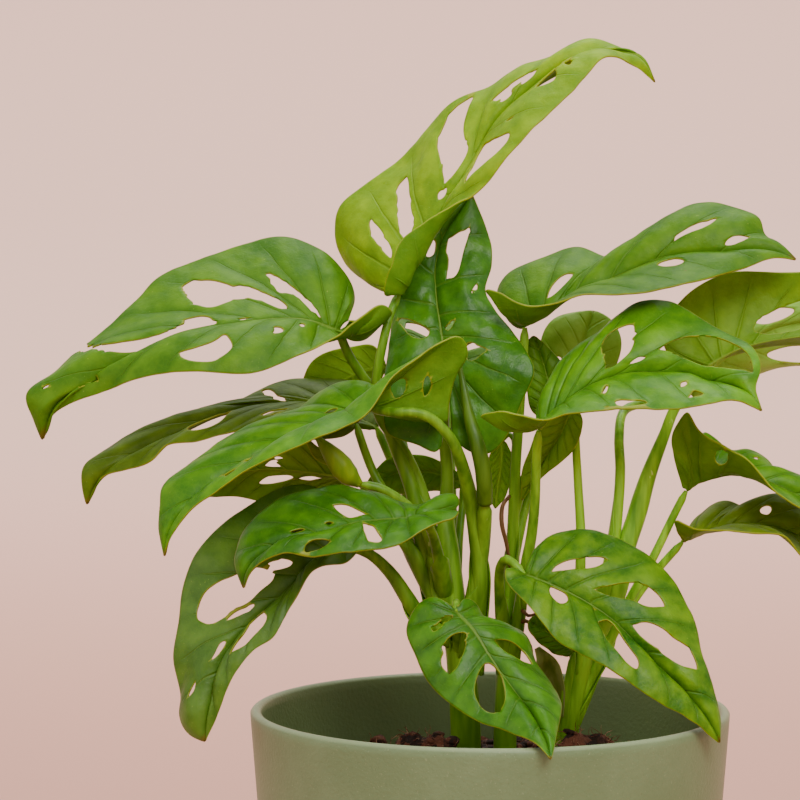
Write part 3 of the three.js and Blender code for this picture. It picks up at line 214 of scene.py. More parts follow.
def hole_outline(half, hole):
    """A lens from one seen end of the hole to the other, in s and v, as the solid has it."""
    x0, z0, x1, z1, width = hole
    length = math.hypot(x1 - x0, z1 - z0)
    side = (-(z1 - z0) / length, (x1 - x0) / length)
    outline = []
    for k in range(OUTLINE_POINTS):
        turn = FULL_TURN * k / OUTLINE_POINTS
        along = 0.5 - 0.5 * math.cos(turn)
        off = 0.5 * width * math.sin(turn)
        x = x0 + (x1 - x0) * along + side[0] * off
        z = z0 + (z1 - z0) * along + side[1] * off
        outline.append(half.find(x, z))
    outline = np.array(outline)
    if np.sum(outline[:, 1] > STRIP_INSIDE) <= OUTLINE_POINTS // 4:
        outline[:, 1] = np.minimum(outline[:, 1], STRIP_INSIDE)
    return outline


def hidden_hole_outline(hole):
    """The same lens from its s, its two v and its width along s, for leaves that are hidden."""
    s, v0, v1, width = hole
    turn = np.linspace(0, FULL_TURN, OUTLINE_POINTS, endpoint=False)
    along = s + 0.5 * width * np.sin(turn)
    across = v0 + (v1 - v0) * (0.5 - 0.5 * np.cos(turn))
    return np.stack([along, across], axis=1)


def cut_outline(half, pixels):
    """The outline of a hole that shows, from its seen pixels to s and v, rounded between them."""
    plan = [half.find(*from_pixel(*pixel)) for pixel in pixels]
    loop = Route([(s, v, 0.0) for s, v in [*plan, plan[0]]])
    outline = loop.at(np.linspace(0, 1, 3 * len(pixels), endpoint=False))[:, :2]
    outline[:, 1] = np.maximum(outline[:, 1], RIB_LEFT)
    return outline


def blade_outlines(name, leaf, side, half):
    """The outlines of a half blade's holes, from its cuts, or else from its lenses."""
    if name in CUTS:
        return [cut_outline(half, pixels) for pixels in CUTS[name].get(side, [])]
    seen = [hole_outline(half, hole) for hole in leaf.get("holes", {}).get(side, [])]
    hidden = [hidden_hole_outline(hole) for hole in leaf.get("hidden_holes", {}).get(side, [])]
    return seen + hidden


def are_inside(outline, points):
    """Which points lie within a closed outline."""
    inside = np.zeros(len(points), bool)
    for (s1, v1), (s0, v0) in zip(outline, np.roll(outline, 1, axis=0)):
        if v1 != v0:
            crosses = (v1 > points[:, 1]) != (v0 > points[:, 1])
            inside ^= crosses & (points[:, 0] < (s0 - s1) * (points[:, 1] - v1) / (v0 - v1) + s1)
    return inside


def nearest_on(outline, points, scale):
    """The nearest place on a closed outline to each point, and how far off it is in mm."""
    starts = outline * scale
    steps = np.roll(starts, -1, axis=0) - starts
    offs = points[:, None] * scale - starts
    shares = np.clip((offs * steps).sum(2) / np.maximum((steps ** 2).sum(1), 1e-12), 0, 1)
    found = starts + steps * shares[..., None]
    gaps = np.linalg.norm(found - points[:, None] * scale, axis=2)
    nearest = np.argmin(gaps, axis=1)
    rows = np.arange(len(points))
    return found[rows, nearest] / scale, gaps[rows, nearest]


# Blades, in mm until their points go into a mesh

CELL = 1.35
HIDDEN_CELL = 2.6
COLUMNS = (20, 96)
ROWS = (6, 26)
SNAP = 0.62  # how far a grid point moves to a hole's outline, in cells
DOUBLES = 0.00002  # metres between points that are one
VEINS = 9
EDGE_REACH = 9.0  # how far from an edge the edge attribute still counts
RIB_GROOVE = (0.4, 1.2)  # depth and half width
RIPPLES = 3.3  # waves of the margin from sinus to tip
CRINKLE_PITCH = 0.085
CALM_TIP = 0.1  # the last share of the blade, where the relief fades


def blade_relief(s, v, reach, place, look):
    """Height above the smooth blade in mm: puffed panels, sunken rib, wavy edge and crinkles."""
    panel = np.abs(np.sin(np.pi * (s * VEINS)))
    puff = look["puff"] * (panel ** 0.7 - 0.55) * np.sin(np.pi * np.clip(v, 0, 1)) ** 0.5
    depth, width = RIB_GROOVE
    groove = -depth * np.exp(-((v * reach / width) ** 2))
    ripple = look["wave"] * v ** 2 * np.sin(FULL_TURN * (s * RIPPLES + look["phase"]))
    ripple *= smooth_step(0, 0.15, s)
    rough = [noise.fractal(Vector(point * CRINKLE_PITCH), 0.8, 2.0, 3) for point in place]
    crinkle = np.array(rough) * (look["crinkle"] * smooth_step(0.0, 0.25, v))
    return (puff + groove + ripple + crinkle) * np.clip((1 - s) / CALM_TIP, 0, 1)


def snap_to_holes(plan, corners, halves, widths, outlines, cell):
    """Moves the plan's points next to a hole onto its outline.

    Returns the new plan, each point's distance to the nearest hole, and which faces are open."""
    edge = np.full(len(plan), EDGE_REACH)
    gone = np.zeros(len(corners), bool)
    for sign, half in halves.items():
        scale = np.array([half.margin.length, widths[sign]])
        mine = plan[:, 1] * sign >= 0
        at_margin = np.abs(plan[:, 1]) > 0.999
        taken = np.full(len(plan), SNAP * cell)
        moved = plan.copy()
        for outline in outlines[sign]:
            local = plan * (1, sign)
            found, gaps = nearest_on(outline, local, scale)
            inside = are_inside(outline, local)
            edge[mine] = np.minimum(edge[mine], np.where(inside, 0, gaps)[mine])
            close = mine & (gaps < taken) & (np.abs(plan[:, 1]) > 0.001)
            if outline[:, 1].max() <= 1:
                close &= ~at_margin
            taken[close] = gaps[close]
            moved[close] = found[close] * (1, sign)
            moved[close & at_margin, 1] = sign
        moved[:, 1] = np.clip(moved[:, 1], -1, 1)
        plan = moved
        edge[taken < SNAP * cell] = 0
        middles = plan[corners].mean(axis=1) * (1, sign)
        for outline in outlines[sign]:
            gone |= are_inside(outline, middles) & (middles[:, 1] > 0)
    return plan, edge, gone


def lay_out(plan, halves, look):
    """Each plan point placed, its gap between side veins, its reach and how far its margin is."""
    placed = np.zeros((len(plan), 3))
    gap, reaches = np.zeros(len(plan)), np.zeros(len(plan))
    margin = np.full(len(plan), EDGE_REACH)
    for sign, half in halves.items():
        mine = plan[:, 1] * sign >= 0
        s, v = plan[mine, 0], np.abs(plan[mine, 1])
        points, up, reach = half.at(s, v)
        after, before = np.minimum(s + half.STEP, 1), np.maximum(s - half.STEP, 0)
        spread = np.linalg.norm(half.at(after, v)[0] - half.at(before, v)[0], axis=1)
        placed[mine] = points + up * blade_relief(s, v, reach, points, look)[:, None]
        gap[mine] = spread / (after - before) / VEINS
        reaches[mine] = reach
        margin[mine] = np.minimum(margin[mine], (1 - v) * reach)
    return placed, gap, reaches, margin


def blade_mesh(name, leaf, look, cell):
    """A blade as a plane grid, its holes snapped round and opened, laid onto its two halves."""
    sides = {1: "left", -1: "right"}
    halves = {sign: HalfBlade(leaf, side) for sign, side in sides.items()}
    outlines = {sign: blade_outlines(name, leaf, side, halves[sign])
        for sign, side in sides.items()}
    widths = {sign: np.linalg.norm(half.margin.at(0.5) - half.rib_at(0.5))
        for sign, half in halves.items()}
    length = max(half.margin.length for half in halves.values())
    columns = int(np.clip(length / cell, *COLUMNS))
    rows = int(np.clip(max(widths.values()) / cell, *ROWS))
    bm = bmesh.new()
    bmesh.ops.create_grid(bm, x_segments=columns, y_segments=2 * rows, size=0.5)
    layers = [bm.verts.layers.float.new(label) for label in ("vein_gap", "reach", "edge")]
    uv = bm.loops.layers.uv.new("blade")
    plan = np.array([(vert.co.x + 0.5, 2 * vert.co.y) for vert in bm.verts])
    corners = np.array([[vert.index for vert in face.verts] for face in bm.faces])
    plan, edge, gone = snap_to_holes(plan, corners, halves, widths, outlines, cell)
    placed, gap, reach, margin = lay_out(plan, halves, look)
    edge = np.minimum(edge, margin)
    for k, vert in enumerate(bm.verts):
        for layer, values in zip(layers, (gap, reach, edge)):
            vert[layer] = values[k]
        vert.co = Vector(placed[k] * MM)
        for loop in vert.link_loops:
            loop[uv].uv = plan[k]
    bm.faces.ensure_lookup_table()
    bmesh.ops.delete(bm, geom=[bm.faces[k] for k in np.flatnonzero(gone)], context="FACES")
    bmesh.ops.remove_doubles(bm, verts=bm.verts, dist=DOUBLES)
    loose = [vert for vert in bm.verts if not vert.link_faces]
    bmesh.ops.delete(bm, geom=loose, context="VERTS")
    return smooth_mesh(bm, name)


# The plant's leaves, shoots and rolled leaves, in mm as the eye writes them

LEAVES = {
    "leaf_far_left": {
        "rib": [[-44, -4, 240], [-54, -7, 243.5], [-74, -12, 242.5], [-93, -14, 238.3],
            [-109, -14, 227], [-126, -12, 219], [-130, -10, 208]],
        "right": [[-41, -2, 243], [-39.5, 6, 250], [-42, 10, 256], [-48.5, 13, 263.5],
            [-60, 15, 267.3], [-78, 14, 262.5], [-95, 10, 256.5], [-103, 5, 248.5],
            [-112, 0, 239.5], [-120, -3, 234], [-127, -6, 228], [-134.5, -9, 221.5],
            [-132.5, -10, 214.5]],
        "left": [[-41, -5, 243], [-31, -8, 243], [-28.5, -11, 245.5], [-31.5, -13, 248],
            [-38, -15, 244], [-47, -17, 237.5], [-56, -22, 232.5], [-68, -27, 228],
            [-82, -27, 228.3], [-97, -24, 227.3], [-110, -19, 223.5], [-122, -14, 219.2],
            [-128, -11, 214.5]],
        "pull": [4.2, 3.2],
        "arch": [[2, 3], [-5, 3]],
    },
    "leaf_top": {
        "rib": [[-26.5, -2, 251], [-21, -1, 262], [-14, 0, 275], [-6, 2, 288], [0, 4, 299],
            [10, 6, 308.5], [22, 8, 315.5], [34, 8, 319.8], [42, 8, 319.3], [47.5, 8, 311.4]],
        "right": [[-26, -4, 251.5], [-30.7, -8, 250.5], [-29.5, -11, 258], [-25.5, -12, 266.5],
            [-19, -12, 270.8], [-11, -12, 275.8], [-3, -12, 281.3], [5, -13, 290], [15, -11, 301],
            [25, -6, 311.5], [34, 0, 318.7], [42, 5, 316.2]],
        "left": [[-27.5, 0, 252], [-30.5, 6, 254.4], [-36, 12, 254.5], [-41, 16, 258],
            [-44.8, 18, 267], [-43.5, 18, 275.5], [-38, 18, 280.8], [-25, 18, 291],
            [-14.5, 17, 302.5], [-9, 16, 306.8], [0, 15, 310.3], [8, 14, 316.3], [17, 12, 319.5],
            [28.5, 10, 324], [37, 9, 321.5], [44, 8.5, 318]],
        "pull": [2.2, 2.6],
        "arch": [[-5, 3], [2, 3]],
    },
    "leaf_centre": {
        "rib": [[-13, -7, 229], [-14, -3, 238], [-15.7, 3, 250], [-16, 8, 259], [-13.5, 12, 268],
            [-9, 14, 274.5], [-5.5, 15, 280]],
        "right": [[-11, -8, 227], [-11.5, -10, 216], [-11, -11, 209], [-5, -12, 204.5],
            [0, -12, 204.5], [5, -12, 210], [9.5, -12, 220], [12.8, -11, 228], [11, -9, 233],
            [6, -4, 240.5], [1, 0, 246.5], [-1.6, 3, 251.5], [0.2, 7, 258.5], [0.3, 10, 264],
            [-1.4, 12, 270], [-4, 14, 276.5]],
        "left": [[-14.5, -8, 227], [-13.5, -10, 214], [-15.5, -12, 204.7], [-21, -12, 206.8],
            [-29.8, -12, 210.5], [-31, -10, 216], [-30.7, -6, 224], [-29.5, 0, 236], [-28, 5, 246],
            [-25.5, 9, 255], [-20, 12, 266], [-12, 14, 274.5]],
        "pull": [3.6, 3],
        "arch": [[2, 2], [2, 2]],
    },
    "leaf_upper_right": {
        "rib": [[10, 0, 241], [18, 2, 247], [26, 3, 252.5], [33, 3, 254.5], [42, 3, 258.3],
            [50, 3, 261.5], [60, 3, 262.5], [72, 2, 263], [82, 2, 262.5], [88.6, 2, 260.5]],
        "right": [[8.5, -3, 243], [2, -6, 248], [-1.5, -8, 252.3], [3, -10, 251.5], [9, -12, 248.3],
            [15, -13, 247], [21, -14, 248], [28, -15, 250.7], [40, -16, 251.2], [50, -15, 252],
            [60, -12, 254.3], [68, -8, 257], [76, -4, 259], [83, -1, 261]],
        "left": [[9, 4, 243], [3, 12, 247], [2, 16, 252], [6, 19, 257.5], [15, 20, 261],
            [25, 20, 264], [33, 18, 261.5], [38, 16, 260.5], [44, 16, 266], [52, 16, 271.7],
            [56, 15, 275.3], [64, 14, 277.2], [72, 12, 275.5], [77.5, 10, 273], [79.5, 8, 267.2],
            [84, 6, 264.8]],
        "pull": [3, 3],
        "arch": [[-4, 2], [2, 3]],
    },
    "leaf_right_bright": {
        "rib": [[14, -22, 211], [21, -22, 219], [29, -21, 224.5], [37, -20, 227.5],
            [46, -20, 228.3], [54, -21, 227.7], [60, -22, 225.8], [67, -24, 224], [74, -27, 222.5],
            [79, -30, 216.5]],
        "right": [[12, -24, 211.5], [3, -27, 214], [-3, -30, 215.8], [2, -33, 216.6],
            [9, -35, 215.6], [15, -36, 214.7], [21, -37, 215.7], [31, -38, 216.8], [43, -38, 217.5],
            [54, -38, 217.4], [64, -37, 218.2], [72, -34, 219.7], [76, -32, 218.2]],
        "left": [[14, -18, 214], [16.5, -15, 218], [17.7, -13, 223.5], [19.5, -11, 229.5],
            [24, -9, 234.3], [31, -7, 239.5], [36, -6, 244], [41, -5, 247.6], [47, -5, 248.8],
            [54, -7, 247.7], [61, -10, 243.5], [68, -13, 239.5], [74, -17, 236.5], [77.8, -21, 232],
            [78.3, -25, 228], [76.8, -28, 223.5]],
        "pull": [3, 2.6],
        "arch": [[-4, 2], [2, 3]],
    },
    "leaf_far_right": {
        "rib": [[63, 4, 229.5], [72, 6, 234.5], [84, 8, 237.5], [98, 9, 238.5], [112, 8, 236],
            [126, 4, 228]],
        "right": [[60, 4, 229], [52, 4, 233], [50, 6, 240], [54, 8, 247.5], [61, 10, 253.5],
            [70, 12, 257.2], [84, 13, 257], [98, 13, 256.5], [110, 12, 252], [120, 9, 243]],
        "left": [[62, 8, 228.5], [61, 16, 229], [66, 28, 232], [80, 33, 235], [96, 30, 236],
            [112, 20, 234]],
        "pull": [3, 2.6],
        "arch": [[2, 3], [2, 3]],
        "holes": {"right": [[76.3, 240.5, 104, 249, 8]], "left": []},
    },
    "leaf_left_back": {
        "rib": [[-39, 2, 213], [-47, 3, 218.5], [-60, 4, 219.5], [-70, 4, 217.7], [-80, 3, 215],
            [-90, 2, 210], [-100, 1, 204.3], [-109, 0, 199.8], [-114.5, 0, 196],
            [-117.3, 0, 189.2]],
        "right": [[-37, 5, 215], [-35, 10, 221], [-41, 14, 225.5], [-50, 16, 226.3],
            [-60, 16, 225.3], [-70, 14, 221.5], [-79, 11, 217.6], [-84, 10, 217.2], [-90, 9, 213.5],
            [-96, 9, 213.2], [-105, 7, 210.3], [-112, 5, 205.3], [-118, 2, 200.5],
            [-118.3, 0, 193.5]],
        "left": [[-40, 0, 211], [-44, -4, 209], [-53, -7, 209], [-62, -8, 210.5], [-70, -8, 211.5],
            [-78, -8, 210.2], [-86, -8, 207.5], [-94, -7, 206.2], [-99, -6, 202.3],
            [-106, -4, 199.8], [-112, -2, 197.3], [-115.5, 0, 192.5]],
        "pull": [3, 2.6],
        "arch": [[2, 2], [2, 2]],
    },
    "leaf_left_front": {
        "rib": [[-34.5, -20, 217.3], [-43, -21, 216], [-52, -23, 212.5], [-61, -25, 207.5],
            [-70, -27, 202], [-79, -29, 195.5], [-87, -31, 189], [-92.5, -32, 182],
            [-94.7, -32, 174]],
        "right": [[-34, -18, 219], [-31.5, -14, 222.5], [-36, -10, 225.2], [-42, -8, 225],
            [-49, -8, 222.2], [-56, -8, 218], [-63, -9, 215], [-70, -11, 212], [-80, -14, 207],
            [-88, -19, 201], [-95, -24, 194.5], [-95.8, -27, 189], [-96.3, -30, 182]],
        "left": [[-31, -20, 217.6], [-22, -19, 217.5], [-16, -18, 215], [-12.6, -18, 213.3],
            [-12, -18, 219], [-10, -19, 227], [-6.5, -20, 233], [-7.3, -21, 237],
            [-9.5, -22, 238.8], [-15, -24, 237], [-21, -27, 233], [-28, -30, 227],
            [-32, -32, 220.5], [-36, -34, 215], [-42, -35, 212], [-50, -37, 209.5],
            [-60, -38, 205.3], [-70, -38, 199.5], [-79, -37, 193], [-86, -36, 189],
            [-91.5, -34, 182.5], [-94, -33, 177.5]],
        "pull": [3, 5],
        "arch": [[2, 2], [-2, 2]],
    },
    "leaf_left_under": {
        "rib": [[-39, -2, 196.5], [-48, 0, 198.5], [-58, 2, 199.8], [-68, 3, 200], [-78, 2, 197],
            [-86, 0, 191.5]],
        "right": [[-41, 2, 195], [-46, 4, 194.3], [-52, 7, 192.8], [-60, 9, 191.2], [-68, 9, 191],
            [-78, 6, 192]],
        "left": [[-40, -3, 198], [-46.5, -4, 200.3], [-51, -5, 203.5], [-53, -5, 208],
            [-57, -4, 212], [-66, -3, 211.5], [-76, -1, 206], [-83, 0, 198.5]],
        "pull": [2.4, 2.4],
        "arch": [[1, 1], [1, 1]],
    },
    "leaf_front_shiny": {
        "rib": [[-20, -30, 185.8], [-28, -32, 185.2], [-38, -34, 184.3], [-48, -36, 181.6],
            [-58, -37, 179], [-65, -37, 176], [-70, -36, 171], [-71.7, -35, 164.7]],
        "right": [[-18.5, -28, 187], [-12, -26, 187.3], [-8.9, -25, 189.5], [-9.5, -24, 192.3],
            [-13, -23, 193], [-18, -22, 190.8], [-22, -21, 188.8], [-30, -20, 191.5],
            [-37, -19, 194.3], [-44, -19, 195.3], [-52, -19, 193.2], [-62, -21, 190.5],
            [-69, -24, 185.5], [-73, -28, 178.5], [-73.8, -32, 171.5]],
        "left": [[-18.5, -31, 185.5], [-12, -33, 187], [-9.3, -34, 188.3], [-10.5, -37, 186],
            [-15, -39, 184.3], [-22, -42, 180.2], [-30, -44, 177], [-40, -46, 175.4],
            [-52, -46, 174.5], [-58.5, -45, 175.6], [-65, -42, 172.8], [-69.5, -38, 169]],
        "pull": [3, 3],
        "arch": [[1, 2], [1, 2]],
    },
    "leaf_lower_left": {
        "rib": [[-42, -14, 177.5], [-50, -17, 173.5], [-57, -20, 166.5], [-63.5, -22, 160.5],
            [-70, -24, 155], [-76, -26, 147.5], [-79.5, -28, 140], [-81.5, -30, 131],
            [-83, -30, 119.7]],
        "right": [[-43, -12, 180], [-45, -8, 188], [-51, -4, 194.3], [-57, -3, 195],
            [-64, -3, 192.8], [-72, -5, 188], [-80, -8, 181.5], [-86, -11, 174],
            [-89.7, -14, 164.5], [-90.6, -17, 156], [-92, -20, 144], [-90.2, -23, 134],
            [-91, -25, 128], [-88, -28, 122.3]],
        "left": [[-41, -15, 175.5], [-38.7, -17, 176], [-42, -20, 172.2], [-50, -23, 170.6],
            [-55, -26, 165.5], [-58.5, -28, 157.5], [-62.5, -30, 151], [-69, -31, 147],
            [-73.5, -32, 141], [-78, -32, 131.5], [-81.8, -31, 123]],
        "pull": [3, 2.4],
        "arch": [[3, 3], [2, 2]],
    },
    "leaf_low_front": {
        "rib": [[-10, -42, 158], [-5, -45, 153], [0, -48, 145], [6, -52, 136.5], [12, -58, 128.5],
            [16, -66, 121], [18, -74, 114.3]],
        "right": [[-11.5, -42, 159.7], [-16.5, -40, 162.3], [-21.5, -40, 159.5], [-24.3, -42, 153],
            [-21.5, -46, 145], [-18, -50, 137.5], [-11, -55, 130.5], [-3, -60, 125.3],
            [5, -64, 123.2], [12, -69, 120.3]],
        "left": [[-9, -41, 159.5], [-7.5, -38, 161.8], [-4, -36, 160], [-1, -35, 155.7],
            [5, -35, 154], [10.5, -37, 150.5], [13.5, -41, 144], [18, -46, 137], [20.7, -53, 130.5],
            [19.5, -64, 122]],
        "pull": [2.6, 2.4],
        "arch": [[2, 2], [1, 2]],
    },
    "leaf_low_right": {
        "rib": [[10, -28, 169], [19, -30, 165.5], [28, -32, 161], [36, -34, 155.5],
            [44, -36, 147.5], [52, -37, 139], [60, -39, 130.5], [65, -40, 124], [67.3, -40, 119.2]],
        "right": [[8, -29, 168], [4.8, -31, 171], [4.7, -33, 168], [7.5, -36, 163.8],
            [13, -40, 157.5], [20, -43, 150.3], [29, -45, 144.2], [39, -46, 138], [50, -46, 131.3],
            [60, -44, 125]],
        "left": [[10.5, -26, 171], [13, -22, 176], [17.5, -19, 180.6], [25, -18, 182],
            [34, -18, 180.6], [43, -19, 176.5], [50, -21, 171], [55.5, -24, 163], [60, -28, 154.5],
            [62, -32, 145], [65, -35, 135.5], [67.5, -38, 126]],
        "pull": [2.4, 2.6],
        "arch": [[2, 2], [2, 3]],
    },
    "leaf_right_folded": {
        "rib": [[57, 0, 193.5], [63, 1, 196.5], [71, 2, 198.3], [80, 3, 196.5], [90, 4, 192],
            [100, 4, 186], [110, 3, 176]],
        "right": [[56, -2, 194.5], [53.5, -8, 204], [53.2, -10, 211], [57.3, -12, 217],
            [61, -13, 211], [69, -14, 205.3], [77, -15, 200.5], [84, -15, 193], [92, -13, 186.5],
            [102, -8, 180]],
        "left": [[59, 3, 194.5], [60, 12, 203], [62, 15, 211], [66, 15, 209], [70, 15, 205.3],
            [75, 15, 205], [80, 14, 203], [84, 13, 199.3], [91, 12, 198], [101, 9, 191]],
        "pull": [2.6, 2.6],
        "arch": [[-2, 0], [0, 2]],
        "holes": {"right": [[65.2, 202.4, 69, 203.6, 3.8]],
            "left": [[76.5, 202.6, 77.8, 202.6, 1]]},
    },
    "leaf_right_low": {
        "rib": [[56, 2, 178.5], [64, 3, 182], [74, 4, 184], [84, 5, 183], [94, 4, 178],
            [104, 2, 168]],
        "right": [[55.5, 0, 179.5], [54, -5, 185], [60, -9, 182.3], [68, -11, 181.3],
            [76, -11, 181.5], [85, -10, 180], [90, -8, 175], [97, -5, 170.5]],
        "left": [[57, 4, 180], [59.5, 12, 184], [63, 15, 188.5], [69, 16, 190.2], [76, 16, 188.3],
            [82, 15, 193], [88, 14, 191], [95, 10, 184]],
        "pull": [2.4, 2.4],
        "arch": [[-1, 1], [1, 2]],
        "holes": {"right": [], "left": [[78.5, 187, 81.7, 188.4, 2.8]]},
    },
    "leaf_behind_top": {
        "rib": [[-30, 16, 230], [-38, 18, 228], [-46, 19, 223], [-54, 18, 214]],
        "right": [[-31, 17, 228], [-34, 19, 222], [-42, 20, 216], [-49, 19, 212.5]],
        "left": [[-31, 16, 232], [-34, 17, 236], [-40, 18, 235.5], [-47, 18, 234], [-52, 18, 231],
            [-54.3, 18, 226], [-56, 18, 219]],
        "pull": [2, 2],
        "arch": [[1, 1], [1, 1]],
    },
    "leaf_pale_back": {
        "rib": [[20, 12, 215], [23, 16, 226], [27, 20, 237], [30, 24, 246]],
        "right": [[22, 12, 215], [30, 14, 219], [36, 17, 229], [38, 20, 237], [35, 22, 243.5]],
        "left": [[18, 12, 216], [14, 14, 224], [14, 17, 234], [17, 20, 242.5], [23, 23, 245.3]],
        "pull": [2, 2],
        "arch": [[1, 1], [1, 1]],
        "holes": {"right": [[26, 226, 32, 229, 2.6]], "left": [[17, 229, 21.5, 233, 2.4]]},
    },
    "leaf_small_dark": {
        "rib": [[17, 4, 214], [17, 6, 224], [15, 8, 232], [12.5, 9, 239]],
        "right": [[18, 4, 214], [22, 4, 217], [23, 6, 224], [20.5, 8, 231], [16, 9, 236]],
        "left": [[16, 4, 214], [12, 5, 217], [10.5, 6, 224], [9.5, 8, 231], [10, 9, 236]],
        "pull": [2, 2],
        "arch": [[1, 1], [1, 1]],
    },
    "leaf_behind_stems": {
        "rib": [[-8, 10, 196], [-17, 13, 199], [-27, 16, 199], [-37, 18, 193]],
        "right": [[-8, 9, 198], [-16, 11, 203], [-27, 14, 204], [-34, 16, 199]],
        "left": [[-8, 12, 194.5], [-17, 16, 193.5], [-27, 19, 192.5], [-34, 19, 191]],
        "pull": [2, 2],
        "arch": [[1, 1], [1, 1]],
    },
    "leaf_small_hanging": {
        "rib": [[3.5, 7, 208], [3, 7, 200], [2, 7, 194], [1.5, 7, 188]],
        "right": [[4.5, 7, 208], [6.3, 8, 204], [6.5, 8, 198], [4.5, 8, 192]],
        "left": [[2.5, 7, 208], [0, 8, 204], [-1, 8, 198], [-0.5, 8, 192]],
        "pull": [2, 2],
        "arch": [[0.5, 0.5], [0.5, 0.5]],
    },
    "leaf_wet_hanging": {
        "rib": [[24, -4, 218], [21, -4, 211], [16, -4, 203], [9, -3, 190.5]],
        "right": [[23, -4, 218.5], [20, -6, 217.5], [15, -7, 212], [11, -6, 205], [9, -5, 197]],
        "left": [[25, -4, 217.5], [26.5, -6, 215], [26, -7, 209], [21, -6, 202], [15.3, -4, 197.8]],
        "pull": [2, 2],
        "arch": [[0.5, 1], [0.5, 1]],
    },
    "leaf_low_under": {
        "rib": [[24.5, -8, 146], [20.5, -10, 149.5], [16, -12, 152.5], [11, -14, 155.5]],
        "right": [[25.5, -7, 148], [28.5, -6, 150.5], [26, -7, 154.5], [20, -9, 157],
            [14, -12, 157.5]],
        "left": [[23, -9, 145], [19.5, -12, 145.5], [15, -14, 148.5], [11.5, -15, 152]],
        "pull": [2, 2],
        "arch": [[0.5, 0.5], [0.5, 0.5]],
    },
    "leaf_back_right": {
        "rib": [[58, 34, 222], [68, 38, 232], [80, 42, 240], [94, 45, 243], [108, 44, 240],
            [120, 40, 230]],
        "right": [[59, 36, 220], [66, 46, 224], [78, 54, 228], [92, 56, 230], [108, 52, 228]],
        "left": [[57, 33, 224], [60, 36, 234], [66, 40, 243], [78, 44, 250], [94, 46, 252],
            [110, 44, 248]],
        "pull": [2.4, 2.4],
        "arch": [[2, 2], [2, 2]],
        "holes": {"right": [[80, 233, 100, 234, 5]], "left": [[76, 243, 88, 246, 4]]},
    },
    "leaf_back_high": {
        "rib": [[-12, 34, 222], [-13, 44, 234], [-15, 56, 243], [-16, 68, 248], [-15, 80, 248],
            [-13, 92, 244]],
        "right": [[-9, 34, 222], [0, 36, 226], [7, 44, 232], [6, 56, 238], [2, 70, 240],
            [-5, 84, 240]],
        "left": [[-15, 34, 222], [-24, 38, 226], [-29, 46, 233], [-28, 58, 241], [-25, 72, 244],
            [-19, 85, 243]],
        "pull": [2.2, 2.2],
        "arch": [[2, 3], [2, 3]],
        "hidden_holes": {"right": [[0.42, 0.2, 0.7, 0.06], [0.6, 0.2, 0.7, 0.06]],
            "left": [[0.5, 0.2, 0.75, 0.07]]},
    },
    "leaf_back_low": {
        "rib": [[30, 46, 168], [32, 56, 169], [35, 68, 169.4], [38, 80, 169.2], [41, 91, 168.8],
            [43, 99, 168]],
        "right": [[32, 45, 168], [42, 48, 168.6], [47, 56, 168.8], [50, 68, 168.6], [50, 80, 168.2],
            [47, 92, 168]],
        "left": [[28, 46, 168], [17, 50, 168.8], [12, 60, 169], [14, 72, 168.8], [22, 84, 168.4],
            [33, 94, 168]],
        "pull": [2.2, 2.2],
        "arch": [[0.4, 0.6], [0.4, 0.6]],
        "hidden_holes": {"right": [[0.5, 0.2, 0.75, 0.07]],
            "left": [[0.42, 0.2, 0.7, 0.06], [0.62, 0.2, 0.7, 0.06]]},
    },
    "leaf_back_left": {
        "rib": [[-33, 36, 212], [-40, 42, 215], [-50, 52, 217], [-60, 62, 216], [-68, 72, 212],
            [-74, 80, 205]],
        "right": [[-32, 38, 213], [-30, 46, 217], [-35, 58, 220], [-44, 70, 219.5], [-56, 80, 215],
            [-67, 84, 209]],
        "left": [[-35, 35, 211.5], [-44, 36, 212], [-56, 42, 212], [-66, 52, 210.5], [-73, 63, 208],
            [-76, 74, 205]],
        "pull": [2.2, 2.2],
        "arch": [[2, 3], [2, 3]],
        "hidden_holes": {"right": [[0.5, 0.2, 0.7, 0.06]],
            "left": [[0.45, 0.2, 0.75, 0.07], [0.65, 0.2, 0.7, 0.06]]},
    },
}

